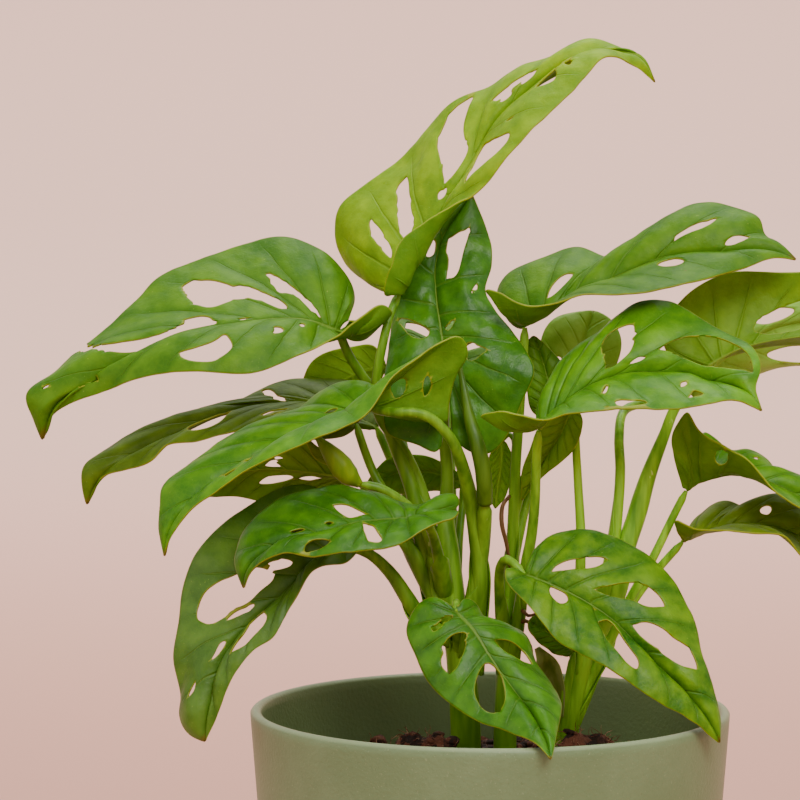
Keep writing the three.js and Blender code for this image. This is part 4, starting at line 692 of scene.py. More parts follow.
SHOOTS = {
    "stem_left": {
        "foot": [-7, -2],
        "radii": [4.4, 4.4, 4, 3.4, 2.6],
        "stem": [[-7, -2, 122], [-9, -4, 148], [-13, -5, 164], [-17, -6, 176]],
        "petioles": [
            {"leaf": "leaf_far_left", "radii": [3, 2.6, 2.2, 1.5, 1.3], "path": [[-15, -4, 158],
                [-19, -3, 176], [-22, -2, 192], [-28, 0, 208], [-35, 1, 224], [-37.5, 0, 227.5],
                [-41, -2, 233]]},
            {"leaf": "leaf_top", "radii": [2.6, 2.2, 1.7, 1.4, 1.2], "path": [[-14, -3, 158],
                [-16.5, -2, 175], [-19, -1, 190], [-25, 0, 205], [-31.5, -1, 214], [-33.4, -4, 220],
                [-33, -7, 227], [-31.5, -8, 235], [-29, -6, 245]]},
            {"leaf": "leaf_centre", "radii": [3, 2.8, 2, 1.6, 1.3], "path": [[-10, -4, 158],
                [-12, -4, 175], [-13, -3, 184], [-12.5, -1, 198], [-13.5, -2, 212],
                [-13, -5, 224]]},
            {"leaf": "leaf_left_front", "radii": [2.4, 2.4, 2.2, 1.5, 1.3], "path": [
                [-4.5, -5, 140], [-3, -8, 168], [-4, -10, 180], [-5.4, -12, 190], [-6.8, -15, 196],
                [-8.5, -19, 202], [-10.2, -22, 206.5], [-13, -24, 210.8], [-17, -25, 214.5],
                [-22, -26.5, 216.4], [-28, -26, 216.4]]},
            {"leaf": "leaf_left_back", "radii": [2.2, 2, 1.8, 1.3, 1.2], "path": [[-14, -5, 158],
                [-24, -4, 178], [-27, -3, 186], [-33.5, -1, 198], [-36, 0, 204]]},
            {"leaf": "leaf_left_under", "radii": [1.8, 1.6, 1.3, 1.1], "path": [[-15, -5, 164],
                [-21, -5, 172], [-29, -4, 184], [-35, -3, 193]]},
            {"leaf": "leaf_lower_left", "radii": [2.2, 2.4, 1.8, 1.3], "path": [[-11, -5, 150],
                [-20, -7, 156], [-24, -8, 162], [-29, -9, 169.5], [-35, -11, 175]]},
            {"leaf": "leaf_front_shiny", "radii": [2, 1.8, 1.4, 1.2], "path": [[-13, -6, 164],
                [-15, -14, 174], [-17, -22, 181.5]]},
            {"leaf": "leaf_low_front", "radii": [2, 1.6, 1.2, 1.1], "path": [[-9, -5, 146],
                [-9.3, -16, 156], [-9.6, -28, 160], [-9.8, -37, 160.5]]},
            {"leaf": "leaf_furled", "radii": [1.8, 1.6, 1.5, 1.3], "path": [[-15, -6, 172],
                [-20, -10, 185], [-26, -12, 190.6], [-32, -13.5, 194.2]]},
            {"leaf": "leaf_spear", "radii": [2.6, 2.4, 2.1], "path": [[-7, -5, 150],
                [-2.5, -9, 176], [-1.5, -15, 189]]},
            {"leaf": "leaf_behind_top", "radii": [1.8, 1.4, 1.1], "path": [[-22.5, -2, 194],
                [-27, 8, 214], [-29, 13, 224]]},
            {"leaf": "leaf_behind_stems", "radii": [1.6, 1.3, 1], "path": [[-10, -3, 160],
                [-9, 4, 180], [-8, 8, 190]]},
            {"leaf": "leaf_back_high", "radii": [2, 1.8, 1.5, 1.2], "path": [[-10, -3, 152],
                [-11, 10, 178], [-11.5, 20, 200], [-12, 28, 213]]},
            {"leaf": "leaf_back_left", "radii": [2, 1.7, 1.4, 1.2], "path": [[-11, -3, 152],
                [-14, 12, 168], [-19, 25, 181], [-26, 32, 196]]},
        ],
    },
    "stem_middle": {
        "foot": [4.5, 1],
        "radii": [3.4, 3.4, 3, 2.4],
        "stem": [[4.5, 1, 122], [5.5, 0, 146], [6, 0, 164]],
        "petioles": [
            {"leaf": "leaf_upper_right", "radii": [2.2, 1.8, 1.5, 1.3], "path": [[5.5, 0, 150],
                [6.2, 0, 170], [6.8, 0, 185], [7.3, 0, 200], [8, -1, 210], [9, -1, 225],
                [9.7, 0, 236]]},
            {"leaf": "leaf_right_bright", "radii": [2.2, 1.8, 1.5, 1.3], "path": [[5, 0, 136],
                [8, -5, 152], [10.5, -10, 172], [12, -12, 180], [13, -15, 190], [13.3, -18, 200],
                [13.6, -20, 206]]},
            {"leaf": "leaf_low_right", "radii": [2, 1.8, 1.4, 1.2], "path": [[5, 0, 140],
                [3, -9, 160], [3, -18, 171], [5.4, -25, 173.4]]},
            {"leaf": "leaf_small_dark", "radii": [1.6, 1.3, 1], "path": [[6.8, 0, 186],
                [11, 2, 200], [15, 3.5, 209]]},
            {"leaf": "leaf_pale_back", "radii": [1.8, 1.5, 1.1], "path": [[6, 0, 170], [11, 6, 192],
                [17, 10, 208]]},
            {"leaf": "leaf_small_hanging", "radii": [1.3, 1, 0.9], "path": [[7, 0, 192],
                [7.6, 4, 204], [6, 6.5, 210.5]]},
        ],
    },
    "stem_right": {
        "foot": [22.5, -2],
        "radii": [3.4, 3.4, 3, 2.2],
        "stem": [[22.5, -2, 121], [25, -2, 136], [29, -2, 148]],
        "petioles": [
            {"leaf": "leaf_wet_hanging", "radii": [2, 1.6, 1.3, 1.1], "path": [[26, -2, 140],
                [26.3, -3, 168], [26.4, -3, 181], [25.6, -3, 195], [24.8, -3, 210],
                [24.9, -3.5, 217]]},
            {"leaf": "leaf_back_right", "radii": [2, 1.6, 1.4, 1.2], "path": [[28, -2, 146],
                [35.2, -1, 172], [37.3, 0, 190], [37.8, 2, 200], [37.4, 6, 209], [39, 16, 217],
                [48, 27, 219.5]]},
            {"leaf": "leaf_far_right", "radii": [2.2, 2.6, 2.8, 1.6, 1.3], "turn": 3.8, "path": [
                [28, -2, 146], [36, -1, 163], [40, 0, 178], [42.5, 1, 186], [46, 2, 198],
                [50.6, 3, 210], [53.8, 3.5, 218]]},
            {"leaf": "leaf_right_folded", "radii": [2, 1.7, 1.3, 1.1], "path": [[24, -2, 128],
                [31, 0, 142], [36, 1, 152], [41, 1, 162], [48, 1, 175], [53, 0.5, 185.5]]},
            {"leaf": "leaf_right_low", "radii": [1.9, 1.6, 1.3, 1.1], "path": [[23.5, -1, 124],
                [33, 3, 147], [41, 4, 160], [46, 4, 167], [51, 3, 173]]},
            {"leaf": "leaf_low_under", "radii": [1.6, 1.4, 1.1], "path": [[22, -4, 122],
                [22, -6, 132], [23.4, -7, 140]]},
            {"leaf": "leaf_back_low", "radii": [1.9, 1.6, 1.3, 1.2], "path": [[24, -1, 128],
                [26.5, 18, 148], [28.5, 34, 161]]},
        ],
    },
}

ROLLS = {
    "leaf_furled": {
        "path": [[-38, -14, 195.5], [-41, -15, 198], [-45.5, -16, 203.5], [-50.5, -17, 209.4]],
        "radii": [1.2, 3, 3.4, 2.8, 1.8, 0.5],
    },
    "leaf_spear": {
        "path": [[-1.5, -15.6, 190], [-1.6, -18, 195], [-2.1, -19, 200], [-3.7, -19, 207],
            [-6, -17, 215], [-8, -14.5, 225], [-9, -13.5, 230]],
        "radii": [2.2, 2.3, 2.2, 1.7, 1.1, 0.4],
    },
    "sheath_dry": {
        "path": [[18.9, -6.6, 127], [18, -8, 136], [16.5, -11, 143], [14, -11, 147.5]],
        "radii": [1.6, 2.6, 2.4, 0.7],
    },
}


# Outlines of the holes that show, in pixels of the 800 x 800 frame that the camera takes, from the
# sharper end round; leaves that aren't listed keep the simple lenses of their solids

CUTS = {
    "leaf_far_left": {
        "right": [
            [(286, 309), (287, 306), (283, 302), (275, 298), (266, 294), (256, 290), (245, 287),
                (235, 286), (226, 284.5), (218, 282), (210, 280), (197, 280), (189, 281),
                (183, 285), (181, 289), (184, 295), (190, 301), (199, 306), (209, 307.5),
                (219, 306), (226, 303), (234, 300), (243, 298.5), (253, 299), (263, 302),
                (273, 306), (281, 309.5)],
            [(322, 319.5), (317, 311), (309, 301), (298, 291), (287, 284), (277, 277), (270, 274),
                (266, 274.5), (269, 280), (275, 288), (280, 294), (286, 294), (293, 296),
                (302, 302), (311, 311)],
            [(221, 325.5), (213, 321), (206, 317), (197, 317), (188, 320), (180, 326), (171, 331),
                (158, 336), (145, 339), (130, 342), (116, 344), (100, 345), (76, 346), (76, 352),
                (96, 350), (112, 352), (133, 352), (152, 347), (166, 341), (180, 335), (190, 333),
                (201, 331), (211, 329)],
            [(249, 317), (243, 318), (238, 320.5), (243, 320.5)],
            [(52, 386), (43, 384), (44, 388)],
        ],
        "left": [
            [(179, 352.5), (190, 350.5), (200, 347), (210, 343), (218, 338.5), (224, 334),
                (229, 338), (232, 344), (231, 348.5), (226, 353), (220, 357), (214, 361),
                (205, 362.5), (195, 362.5), (187, 361), (182, 358)],
            [(274, 334.5), (274.5, 331), (275, 327.5), (281, 328), (283.5, 330.5), (280, 333)],
            [(299, 325), (302, 323.5), (305, 325.5), (302, 328)],
            [(99, 381), (88, 382), (77, 384), (88, 384)],
        ],
    },
    "leaf_top": {
        "right": [
            [(464, 183), (466, 177), (471, 167), (476, 157), (482, 148), (489, 142), (498, 138.5),
                (511, 135), (508, 143), (502, 149), (495, 156), (486, 163), (477, 170), (470, 177)],
            [(506, 122), (512, 118), (516.5, 115), (513, 120)],
            [(536, 88), (538, 82), (545, 75), (553, 69), (562, 65), (572, 62), (580, 60), (572, 67),
                (564, 72), (556, 78), (548, 83)],
        ],
        "left": [
            [(392, 260), (393, 254), (391, 247), (386, 238), (380, 229), (374, 223), (370, 220.5),
                (371, 230), (376, 241), (382, 249)],
            [(408.5, 178), (403, 179.5), (399, 183), (397.5, 198), (398, 212), (399, 225),
                (402, 235), (406, 239.5), (410, 237), (412, 230), (413, 220), (411, 209),
                (410, 196)],
            [(438, 200), (438, 193), (441, 190.5), (447, 192.5), (443, 198)],
            [(446, 183), (443, 175), (441, 165), (439, 155), (437.5, 145), (440, 135), (444, 125),
                (450, 115), (458, 107), (467, 101), (474, 97), (471, 106), (467, 115), (464, 125),
                (464, 135), (466, 143), (468, 148), (465, 157), (459, 167), (453, 176)],
            [(491, 100.5), (496, 95), (503, 89), (512, 82), (521, 76.5), (535, 70), (531, 77),
                (525, 82), (517, 84), (512, 89), (509, 96), (504, 100), (498, 101)],
        ],
    },
    "leaf_centre": {
        "right": [
            [(470, 224), (467, 229), (460, 232), (453, 236), (448, 241), (446, 249), (448.5, 258),
                (448.5, 266), (446.5, 275), (451, 278), (457, 275), (460, 267), (462, 257),
                (464, 249), (467, 240), (469, 232)],
            [(457, 320), (451, 322), (447, 326), (446, 330), (450, 330), (454, 325)],
            [(491, 351), (483, 348), (476, 344), (469, 342), (466, 346), (466, 352), (468, 361),
                (476, 359), (483, 354)],
            [(477, 283), (474, 288), (471, 295), (476, 291), (478, 289)],
        ],
        "left": [
            [(426, 256), (427, 248), (430, 241), (434, 240.5), (436, 246), (435, 251), (430, 256)],
            [(397, 319), (402, 318.5), (409, 320), (417, 323), (425, 327), (430, 330), (429, 335),
                (425, 339), (418, 339), (411, 336), (403, 327)],
        ],
    },
    "leaf_right_bright": {
        "left": [
            [(634, 325), (634.5, 336), (633, 346), (628, 355), (621, 361), (612, 367), (608, 369),
                (605, 361), (602, 351), (603, 343), (608, 335), (616, 329), (626, 326)],
            [(658, 350), (667, 343), (678, 338), (690, 336), (705, 336), (720, 339), (735, 345),
                (745, 352), (751, 361), (753, 371), (743, 370), (732, 369), (720, 368), (707, 367),
                (698, 365), (688, 361), (680, 357), (672, 353), (665, 351)],
            [(629, 364), (636, 359), (646, 356), (639, 362)],
        ],
        "right": [
            [(681, 387), (682, 383), (687, 382.5), (684, 387)],
            [(688, 398), (691, 394), (694, 390), (699, 393), (703, 396.5), (696, 398.5)],
            [(617, 407), (618, 401), (632, 400), (646, 401), (644, 404.5), (636, 406), (626, 407)],
            [(602, 395), (604, 390), (608, 386.5), (608, 392), (605, 396)],
            [(604, 407.5), (607, 406), (610, 407)],
        ],
    },
    "leaf_upper_right": {
        "left": [
            [(547, 299), (549, 292), (553, 285), (559, 279), (566, 275.5), (572.5, 275), (570, 280),
                (564, 286), (558, 292), (552, 297)],
            [(674, 240.5), (676, 235), (682, 231), (690, 226), (699, 222), (708, 219.5),
                (717, 217.5), (712, 223), (706, 226.5), (698, 230), (690, 232), (681, 236)],
            [(725, 244), (728, 239), (733, 236), (740, 235), (749, 236), (744, 240), (737, 243),
                (731, 245)],
        ],
        "right": [
            [(657, 265), (661, 261.5), (668, 259), (676, 258), (683.5, 259), (682, 263), (677, 266),
                (669, 267.5), (662, 267)],
        ],
    },
    "leaf_low_right": {
        "left": [
            [(551, 573), (555, 567), (563, 563), (572, 560.5), (580, 559), (588, 557), (598, 556.5),
                (607, 559), (602, 564), (596, 567), (587, 569), (578, 569.5), (566, 571)],
            [(593, 590), (600, 588), (610, 586), (620, 584), (632, 583), (642, 585), (652, 590),
                (659, 596), (665, 605.5), (658, 606.5), (650, 607), (642, 605), (632, 600),
                (620, 598.5), (606, 595.5)],
            [(634, 628), (638, 623.5), (645, 622.5), (653, 624), (662, 629), (672, 636), (682, 642),
                (690, 649), (695, 659), (697, 668.5), (689, 668), (680, 665), (671, 659),
                (662, 653), (652, 646), (643, 639)],
        ],
        "right": [
            [(549, 591), (551, 586.5), (556, 586), (562, 589), (567, 595), (568, 600), (563, 603.5),
                (557, 602), (551, 597)],
            [(592, 608), (595, 608), (596, 611), (593, 610)],
            [(598, 622), (603, 621), (610, 622), (617, 630), (624, 640), (631, 650), (637, 659),
                (638, 666), (635, 669.5), (629, 667), (621, 659), (613, 649), (606, 640),
                (601, 630)],
        ],
    },
    "leaf_low_front": {
        "right": [
            [(432, 633), (433, 628), (438, 622), (444, 617), (453, 615.5), (450, 620), (445, 624),
                (440, 629), (435, 633)],
            [(467.5, 634), (464, 633), (455, 634.5), (448, 640), (443.5, 648), (441.5, 658),
                (442, 667), (446, 672), (452, 672), (457, 668), (460, 660), (463, 654), (466, 645)],
            [(489, 663), (484, 664), (480, 670), (477, 678), (475, 688), (475.5, 697), (479, 704),
                (485, 711), (492, 714), (499, 711), (504, 704), (505, 693), (503, 682), (500, 672),
                (495, 666)],
        ],
        "left": [
            [(495, 640), (501, 639.5), (508, 641), (516, 645), (523, 651), (529, 658), (532, 663),
                (526, 663), (518, 660), (509, 655), (502, 650), (497, 645)],
        ],
    },
    "leaf_lower_left": {
        "right": [
            [(226, 617), (218, 622), (210, 624.5), (203, 622.5), (197, 618), (196, 613), (197, 608),
                (200, 600), (205, 592), (212, 586), (220, 581), (230, 577), (239, 573), (248, 569),
                (257, 567.5), (265, 569), (271, 573), (274, 578), (271, 583), (264, 588),
                (257, 594), (250, 601), (242, 606), (233, 611)],
            [(225, 622), (233, 614), (241, 609.5), (248, 605.5), (254, 603.5), (253, 608.5),
                (246, 612.5), (236, 617.5)],
            [(267, 564), (272, 562), (280, 560.5), (289, 560), (293, 562.5), (291, 566),
                (284, 568.5), (276, 570), (270, 569)],
            [(210, 661.5), (215, 656), (218, 649), (220, 644), (226.5, 642.5), (224, 648),
                (220, 654), (215, 659)],
            [(187, 698.5), (189, 692), (192, 687), (196.5, 681), (195, 688), (192, 694)],
        ],
        "left": [
            [(230, 655), (235, 646), (241, 638), (247, 629), (253, 620), (259, 614), (265, 614),
                (267, 618), (264, 625), (259, 631), (252, 637), (246, 644), (239, 650)],
            [(209, 703), (210, 695), (212, 688), (215.5, 681), (213.5, 690), (211, 698)],
        ],
    },
    "leaf_front_shiny": {
        "right": [
            [(332, 506), (340, 505), (348, 506), (357, 510), (368, 514), (361, 516), (354, 518),
                (348, 518), (341, 514), (336, 510)],
            [(322, 524), (328, 522.5), (334, 523.5), (328, 524.5)],
            [(290, 533), (297, 529.5), (306, 529), (299, 533)],
        ],
        "left": [
            [(363, 524), (368, 525), (373, 528), (377, 533), (382, 540), (377, 543), (370, 543),
                (366, 537)],
            [(304, 552), (305, 546), (309, 541), (315, 538), (323, 537.5), (331, 541), (325, 546),
                (316, 549)],
        ],
    },
    "leaf_left_front": {
        "right": [
            [(324, 414), (331, 410.5), (338, 409), (333, 413)],
        ],
        "left": [
            [(221, 482), (224, 476), (229, 473.5), (237, 472), (231, 477)],
            [(240, 464), (247, 460), (256, 456.5), (250, 462)],
            [(406, 380), (406, 387), (404, 393), (400, 398), (394, 397), (391, 391), (392, 383),
                (399, 379)],
            [(427, 374), (430, 380), (431, 388), (428, 395), (425, 397), (423, 390), (424, 380)],
        ],
    },
    "leaf_left_back": {
        "right": [
            [(289, 403.5), (278, 396), (271, 391), (266, 390), (261, 391), (266, 395), (274, 399),
                (281, 401)],
        ],
        "left": [
            [(184, 432), (192, 424), (200, 420), (210, 417), (222, 413.5), (232, 412.5), (226, 418),
                (220, 423), (212, 428), (203, 431), (194, 433)],
            [(289, 409), (276, 410), (268, 412), (261, 417), (270, 417), (279, 414)],
        ],
    },
    "leaf_left_under": {
        "left": [
            [(263, 467), (270, 461), (277, 456), (280, 456), (279, 462), (277, 466.5), (270, 467)],
        ],
        "right": [
            [(258, 484), (264, 479), (270, 476.5), (280, 475), (289, 475), (294, 477.5), (288, 480),
                (278, 483), (268, 485)],
            [(297, 478.5), (305, 476), (314, 476), (323, 478), (312, 480.5), (303, 480.5)],
        ],
    },
}


# Materials

COLOUR, VALUE = "NodeSocketColor", "NodeSocketFloat"

def linear(red, green, blue):
    """A colour given as the eye reads it from a screen, 0 to 255, as Blender's linear values."""
    def one(value):
        value /= 255
        return value / 12.92 if value <= 0.04045 else ((value + 0.055) / 1.055) ** 2.4
    return one(red), one(green), one(blue)


def opaque(colour):
    """A colour as a colour socket takes it, with nothing let through."""
    return (*colour, 1.0)


def swatches(settings, *labels):
    """A pattern's colours by their labels, from the settings of the same names."""
    return {label: opaque(getattr(settings, label.lower())) for label in labels}


class Graph:
    """Short calls to add and link the nodes of one tree."""

    def __init__(self, tree):
        self.tree = tree

    def add(self, kind, inputs=None, **settings):
        node = self.tree.nodes.new(kind)
        for key, value in settings.items():
            setattr(node, key, value)
        self.feed(node, inputs or {})
        return node

    def feed(self, node, inputs):
        """Links a node's inputs to sockets, or gives them plain values."""
        for key, value in inputs.items():
            if isinstance(value, bpy.types.NodeSocket):
                self.tree.links.new(value, node.inputs[key])
            else:
                node.inputs[key].default_value = value

    def maths(self, operation, *values, clamp=False):
        inputs = dict(enumerate(values))
        node = self.add("ShaderNodeMath", inputs, operation=operation, use_clamp=clamp)
        return node.outputs[0]

    def times(self, first, second):
        return self.maths("MULTIPLY", first, second)

    def between(self, value, low, high, to_low=0.0, to_high=1.0):
        inputs = {0: value, 1: low, 2: high, 3: to_low, 4: to_high}
        return self.add("ShaderNodeMapRange", inputs, interpolation_type="SMOOTHSTEP").outputs[0]

    def mix(self, factor, first, second):
        inputs = {0: factor, 6: first, 7: second}  # the factor and the two colours of an RGBA mix
        return self.add("ShaderNodeMix", inputs, data_type="RGBA").outputs[2]

    def noise(self, vector, scale, detail=3.0, roughness=0.5):
        inputs = {"Vector": vector, "Scale": scale, "Detail": detail, "Roughness": roughness}
        return self.add("ShaderNodeTexNoise", inputs).outputs["Fac"]

    def object_place(self):
        return self.add("ShaderNodeTexCoord").outputs["Object"]

    def attribute(self, name):
        return self.add("ShaderNodeAttribute", attribute_name=name).outputs["Fac"]

    def stretched(self, vector, scale):
        return self.add("ShaderNodeMapping", {"Vector": vector, "Scale": scale}).outputs[0]


def group(name, colours, values=()):
    """A pattern's node group: its graph, its input sockets and its output node."""
    tree = bpy.data.node_groups.new(name, "ShaderNodeTree")
    ends = [("INPUT", label, COLOUR) for label in colours]
    ends += [("INPUT", label, VALUE) for label in values]
    ends += [("OUTPUT", "Color", COLOUR), ("OUTPUT", "Roughness", VALUE)]
    ends += [("OUTPUT", "Height", VALUE)]
    for end, label, kind in ends:
        tree.interface.new_socket(label, in_out=end, socket_type=kind)
    graph = Graph(tree)
    return graph, graph.add("NodeGroupInput").outputs, graph.add("NodeGroupOutput")


def material(name, pattern, values, bump, shader):
    """A Principled material whose colour, roughness and height come from a pattern group."""
    finish = bpy.data.materials.new(name)
    finish.use_nodes = True
    finish.node_tree.nodes.clear()
    graph = Graph(finish.node_tree)
    source = graph.add("ShaderNodeGroup", node_tree=pattern)
    for key, value in values.items():
        source.inputs[key].default_value = value
    relief = graph.add("ShaderNodeBump",
        {"Height": source.outputs["Height"], "Strength": 1.0, "Distance": bump})
    principled = graph.add("ShaderNodeBsdfPrincipled", {"Base Color": source.outputs["Color"],
        "Roughness": source.outputs["Roughness"], "Normal": relief.outputs[0], **shader})
    graph.add("ShaderNodeOutputMaterial", {"Surface": principled.outputs[0]})
    return finish


BLEMISH = opaque(linear(104, 78, 20))


def blade_pattern():
    """Leaf skin: mottled green, with rib, side veins and a fine net laid out by its s and v."""
    g, ins, out = group("Leaf skin", ["Dark", "Light", "Vein", "Edge"], ["Vein Share", "Gloss"])
    place = g.object_place()
    plan = g.add("ShaderNodeSeparateXYZ", {0: g.add("ShaderNodeUVMap", uv_map="blade").outputs[0]})
    s = plan.outputs[0]
    v = g.maths("ABSOLUTE", plan.outputs[1])

    # How much of a side vein, of the rib and of the net between them there is here, 0 to 1
    wobble = g.times(g.maths("SUBTRACT", g.noise(place, 90.0, 2.0), 0.5), 0.16)
    order = g.maths("ADD", g.times(s, float(VEINS)), wobble)
    beside = g.maths("PINGPONG", order, 0.5)
    side_mm = g.times(beside, g.attribute("vein_gap"))
    side_width = g.between(v, 0.0, 0.95, 0.75, 0.35)
    side = g.between(g.maths("DIVIDE", side_mm, side_width), 0.1, 1.0, 1.0, 0.0)
    side = g.times(side, g.between(v, 0.7, 0.95, 1.0, 0.0))
    rib_mm = g.times(v, g.attribute("reach"))
    rib_width = g.between(s, 0.0, 1.0, 1.1, 0.45)
    rib = g.between(g.maths("DIVIDE", rib_mm, rib_width), 0.35, 1.0, 1.0, 0.0)
    vein = g.maths("MAXIMUM", rib, g.times(side, 0.3))
    cells = g.add("ShaderNodeTexVoronoi", {"Vector": place, "Scale": 620.0},
        feature="DISTANCE_TO_EDGE")
    net = g.between(cells.outputs["Distance"], 0.0, 0.16, 1.0, 0.0)

    # Broad and fine mottling, and painted shade: darker in the sunken grooves beside the rib and
    # side veins
    broad, small = g.noise(place, 48.0, 5.0, 0.62), g.noise(place, 210.0, 2.0)
    clouds = g.maths("ADD", g.times(broad, 0.6), g.times(small, 0.4))
    body = g.mix(g.between(clouds, 0.3, 0.7), ins["Dark"], ins["Light"])
    # Painted shade in the grooves: the green darkens along the rib and each side vein
    panel = g.maths("MAXIMUM", g.between(beside, 0.0, 0.26, 1.0, 0.0),
        g.between(rib_mm, 0.4, 2.6, 1.0, 0.0))
    body = g.mix(g.times(panel, 0.62), body, ins["Dark"])
    body = g.mix(g.times(net, 0.12), body, ins["Light"])
    flecks = g.between(g.noise(place, 1300.0, 2.0), 0.70, 0.78)
    body = g.mix(g.times(flecks, 0.25), body, ins["Vein"])
    body = g.mix(g.times(vein, ins["Vein Share"]), body, ins["Vein"])

    # The pale edge, the dry tip and a few brown blemishes
    rim = g.between(g.attribute("edge"), 0.0, 0.3, 1.0, 0.0)
    body = g.mix(g.times(rim, 0.6), body, ins["Edge"])
    tip = g.between(s, 0.978, 0.994)
    blemish = g.between(g.noise(place, 300.0, 3.0, 0.6), 0.735, 0.76)
    body = g.mix(g.times(g.maths("MAXIMUM", tip, blemish), 0.7), body, BLEMISH)

    fine = g.noise(place, 900.0, 2.0)
    rough = g.maths("ADD", ins["Gloss"], g.times(g.maths("SUBTRACT", fine, 0.5), 0.16))
    rough = g.maths("ADD", rough, g.times(vein, 0.08), clamp=True)
    height = g.times(g.maths("MAXIMUM", side, rib), -0.5)
    for part, share in ((g.noise(place, 130.0, 3.0), 1.1), (g.noise(place, 300.0, 4.0, 0.6), 0.5),
            (fine, 0.1), (net, -0.03)):
        height = g.maths("ADD", height, g.times(part, share))
    g.feed(out, {"Color": body, "Roughness": rough, "Height": height})
    return g.tree


FOOT_FADES = (0.118, 0.142)  # the heights between which the stalks' foot colour fades out


def stalk_pattern():
    """Petiole skin: long fine streaks, deeper green towards the soil and short pale marks."""
    g, ins, out = group("Stalk skin", ["Dark", "Light", "Foot", "Mark"])
    place = g.object_place()
    streak = g.noise(g.stretched(place, (1.0, 1.0, 0.12)), 300.0, 3.0, 0.55)
    patch = g.noise(place, 60.0, 3.0)
    body = g.mix(g.between(streak, 0.25, 0.75), ins["Dark"], ins["Light"])
    body = g.mix(g.times(g.between(patch, 0.45, 0.75), 0.1), body, ins["Dark"])
    height = g.add("ShaderNodeSeparateXYZ", {0: place}).outputs[2]
    low = g.between(g.maths("ADD", height, g.times(patch, 0.012)), *FOOT_FADES, 1.0, 0.0)
    body = g.mix(g.times(low, 0.75), body, ins["Foot"])
    specks = g.between(g.noise(g.stretched(place, (1.0, 1.0, 0.5)), 520.0, 2.0), 0.72, 0.79)
    body = g.mix(g.times(specks, 0.6), body, ins["Mark"])
    rough = g.between(streak, 0.3, 0.7, 0.36, 0.52)
    g.feed(out, {"Color": body, "Roughness": rough, "Height": streak})
    return g.tree


POT_COLOURS = ["Glaze", "Cloud", "Rim", "Speck", "Inside"]
WORN_RIM = (0.0012, 0.0002)  # depths below the rim between which the glaze wears thin
WORN_FOOT = (0.0012, 0.0020)  # heights between which it is whole again


def glaze_pattern():
    """Satin glaze: faint clouding, fine dark specks, tiny painted glints, a paler rim and a worn
    foot.
    """
    g, ins, out = group("Satin glaze", POT_COLOURS)
    place = g.object_place()
    cloud = g.noise(place, 26.0, 5.0, 0.6)
    body = g.mix(g.between(cloud, 0.38, 0.66), ins["Glaze"], ins["Cloud"])
    spot = g.between(g.noise(place, 1500.0, 2.0), 0.66, 0.72)
    body = g.mix(g.times(spot, 0.22), body, ins["Speck"])
    # Painted highlights: tiny glints in the pale rim colour, scattered over the glaze
    glint = g.between(g.noise(place, 1900.0, 1.0), 0.69, 0.74)
    body = g.mix(g.times(glint, 0.35), body, ins["Rim"])
    body = g.mix(g.times(g.attribute("inside"), 0.75), body, ins["Inside"])
    height = g.add("ShaderNodeSeparateXYZ", {0: place}).outputs[2]
    above = g.between(height, *(POT_HEIGHT - depth for depth in WORN_RIM))
    body = g.mix(g.times(above, 0.5), body, ins["Rim"])
    foot = g.between(g.maths("ADD", height, g.times(cloud, 0.001)), *WORN_FOOT, 1.0, 0.0)
    body = g.mix(foot, body, ins["Rim"])
    rough = g.between(cloud, 0.3, 0.7, 0.38, 0.48)
    relief = g.maths("ADD", g.noise(place, 900.0, 3.0), cloud)
    g.feed(out, {"Color": body, "Roughness": rough, "Height": relief})
    return g.tree


DAMP = (0.004, 0.002, 0.001, 1.0)


def soil_pattern():
    """Potting mix: dark crumbs, reddish bark and pale coir fibres."""
    g, ins, out = group("Potting mix", ["Dark", "Bark", "Fibre"])
    place = g.object_place()
    crumbs = g.add("ShaderNodeTexVoronoi", {"Vector": place, "Scale": 420.0})
    tone = g.add("ShaderNodeSeparateColor", {0: crumbs.outputs["Color"]})
    body = g.mix(g.between(tone.outputs[0], 0.35, 0.8), ins["Dark"], ins["Bark"])
    fibre = g.between(g.noise(g.stretched(place, (1.0, 0.12, 1.0)), 900.0, 4.0, 0.7), 0.60, 0.68)
    body = g.mix(g.times(fibre, 0.6), body, ins["Fibre"])
    grit = g.noise(place, 1400.0, 3.0, 0.7)
    body = g.mix(g.between(grit, 0.3, 0.7, 0.0, 0.4), body, DAMP)
    rough = g.between(tone.outputs[1], 0.0, 1.0, 0.72, 0.95)
    height = g.maths("ADD", grit, g.times(crumbs.outputs["Distance"], -1.0))
    g.feed(out, {"Color": body, "Roughness": rough, "Height": height})
    return g.tree


# Pieces

def add_piece(name, mesh, nodes, finishes):
    """Links a mesh as a piece of the plant that stands for CAD nodes."""
    piece = bpy.data.objects.new(name, mesh)
    bpy.context.scene.collection.objects.link(piece)
    for finish in finishes:
        mesh.materials.append(finish)
    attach(piece, "root")
    if nodes:
        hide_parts(*nodes)
    return piece


def stalk_spline(curve, placed, radii, spacing):
    """Adds one bevelled spline through placed mm points; radii are spread evenly along it."""
    route = Route(placed)
    count = max(6, int(route.length / spacing))
    shares = np.linspace(0, 1, count)
    widths = np.interp(shares, np.linspace(0, 1, len(radii)), radii)
    widths[-1] *= 0.5
    spline = curve.splines.new("POLY")
    spline.points.add(count - 1)
    for point, place, width in zip(spline.points, route.at(shares), widths):
        point.co = (*(place * MM), 1.0)
        point.radius = width * MM
    spline.use_smooth = True


